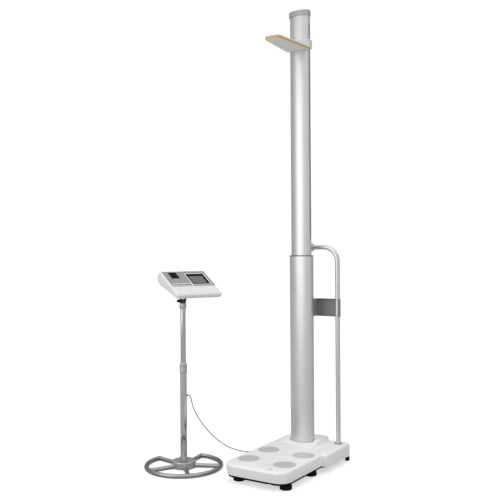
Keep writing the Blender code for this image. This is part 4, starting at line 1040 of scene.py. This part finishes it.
def build_display():
    """Rim of painted highlight for the bezel's lit chamfer, black border, and the glass face set low and left
    inside it.
    """
    # the pale rim all round the display is a painted highlight, standing in for light caught on the bezel's
    # chamfer
    rim = frame_plate(widened(SCREEN_SIZE, 0.0090), widened(SCREEN_SIZE, 0.0010), 0.0003, 0.0011, 0.0030)
    piece("display_painted_highlight_rim", rim, "pale_outline_and_painted_highlight", "console", slot="grey_plastic", place=panel_place(*SCREEN_PLACE),
          bevel=0.0003)
    pane = rounded_plate(widened(SCREEN_SIZE, -0.0146), -0.0048, -0.0008, 0.0006, 0.0002)
    remade("display_screen", "display_pane", pane, "black_window", place=panel_place(*SCREEN_PLACE))
    face = rounded_plate((0.0840, 0.0780), -0.0006, 0.0008, 0.0006, 0.0002)
    piece("display_face", face, "display_glass", "console", slot="screen_glass",
          place=panel_place(SCREEN_PLACE[0] - 0.0065, SCREEN_PLACE[1] - 0.0105))


def build_printer_lid():
    """Black lid with a smoked window and a steel bar to tear the paper on."""
    x, y = DOOR_PLACE
    on_lid = 0.0002
    refined("printer_door", "black_window", "printer_lid", bevel=0.0005)
    window = rounded_plate((0.024, 0.022), -0.0004, 0.0004, 0.0020, 0.0003)
    piece("printer_window", window, "smoke_window", "paper_door", slot="screen_glass",
          place=panel_place(x, y + 0.004, on_lid))
    bar = rounded_plate((DOOR_SIZE[0] - 0.006, 0.0022), -0.0004, 0.0005, 0.0008, 0.0003)
    piece("tear_bar", bar, "plain_steel", "paper_door", slot="brushed_steel",
          place=panel_place(x, y - 0.0235, on_lid))


def build_keys():
    """Outlined strip with the keys and a lamp at each end of their row."""
    strip = frame_plate((0.108, 0.0260), (0.101, 0.0190), 0.0003, 0.0014, 0.0030)
    piece("label_outline", strip, "pale_outline_and_painted_highlight", "console", slot="grey_plastic",
          place=panel_place(-0.0570, KEY_ROW_Y))
    first_x = DOOR_PLACE[0] - 0.016
    for number in range(1, 4):
        cap = rounded_plate(KEY_SIZE, -0.0022, 0.0013, 0.0018, 0.0007)
        remade("key_%d" % number, "key_cap_%d" % number, cap, "key_grey",
               place=panel_place(first_x + KEY_PITCH * (number - 1), KEY_ROW_Y), smooth=50)
    for number, x in ((1, -0.100), (2, -0.011)):
        lamp = turned([(0.0016, 0.0), (0.0016, 0.0009), (0.0009, 0.0013)], 20)
        piece("lamp_%d" % number, lamp, "vial_glass", "console", slot="screen_glass",
              place=panel_place(x, KEY_ROW_Y), smooth=50)


def build_knob():
    """Fluted knob whose bolt goes through the tilt bracket."""
    pivot = Vector((*POLE, middle("tilt_knob").z))
    along = (-CONSOLE_X).to_track_quat("Z", "Y").to_matrix().to_4x4()
    start = BRACKET_HALF + 2 * GAP
    profile = [(0.003, -2 * BRACKET_HALF - 0.002), (0.003, GAP), (0.0060, GAP), (0.0080, 0.0030, 1),
               (0.0080, 0.0140, 1), (0.0072, 0.0160, 1), (0.0050, 0.0170)]
    remade("tilt_knob", "knob", turned(profile, 60, flutes=6, flute_depth=0.0012), "black_rubber",
           place=Matrix.Translation(pivot - CONSOLE_X * start) @ along)


def build_console():
    refined("console_top", "console_white", "case_lid", bevel=0.0022, bevel_steps=4, smooth=18)
    refined("console_base", "console_white", "case_tray", bevel=0.0022, bevel_steps=4, smooth=18)
    refined("console_panel", "panel_grey", "panel_sheet", bevel=0.00025, smooth=28)
    refined("display_bezel", "black_window", "display_frame", bevel=0.0004, smooth=28)
    refined("paper_roll", "paper_white", "paper_coil", bevel=0.0004, smooth=28)
    build_display()
    build_printer_lid()
    build_keys()
    build_knob()


build_platform()
build_column()
build_head()
build_rail()
build_stand()
build_console()
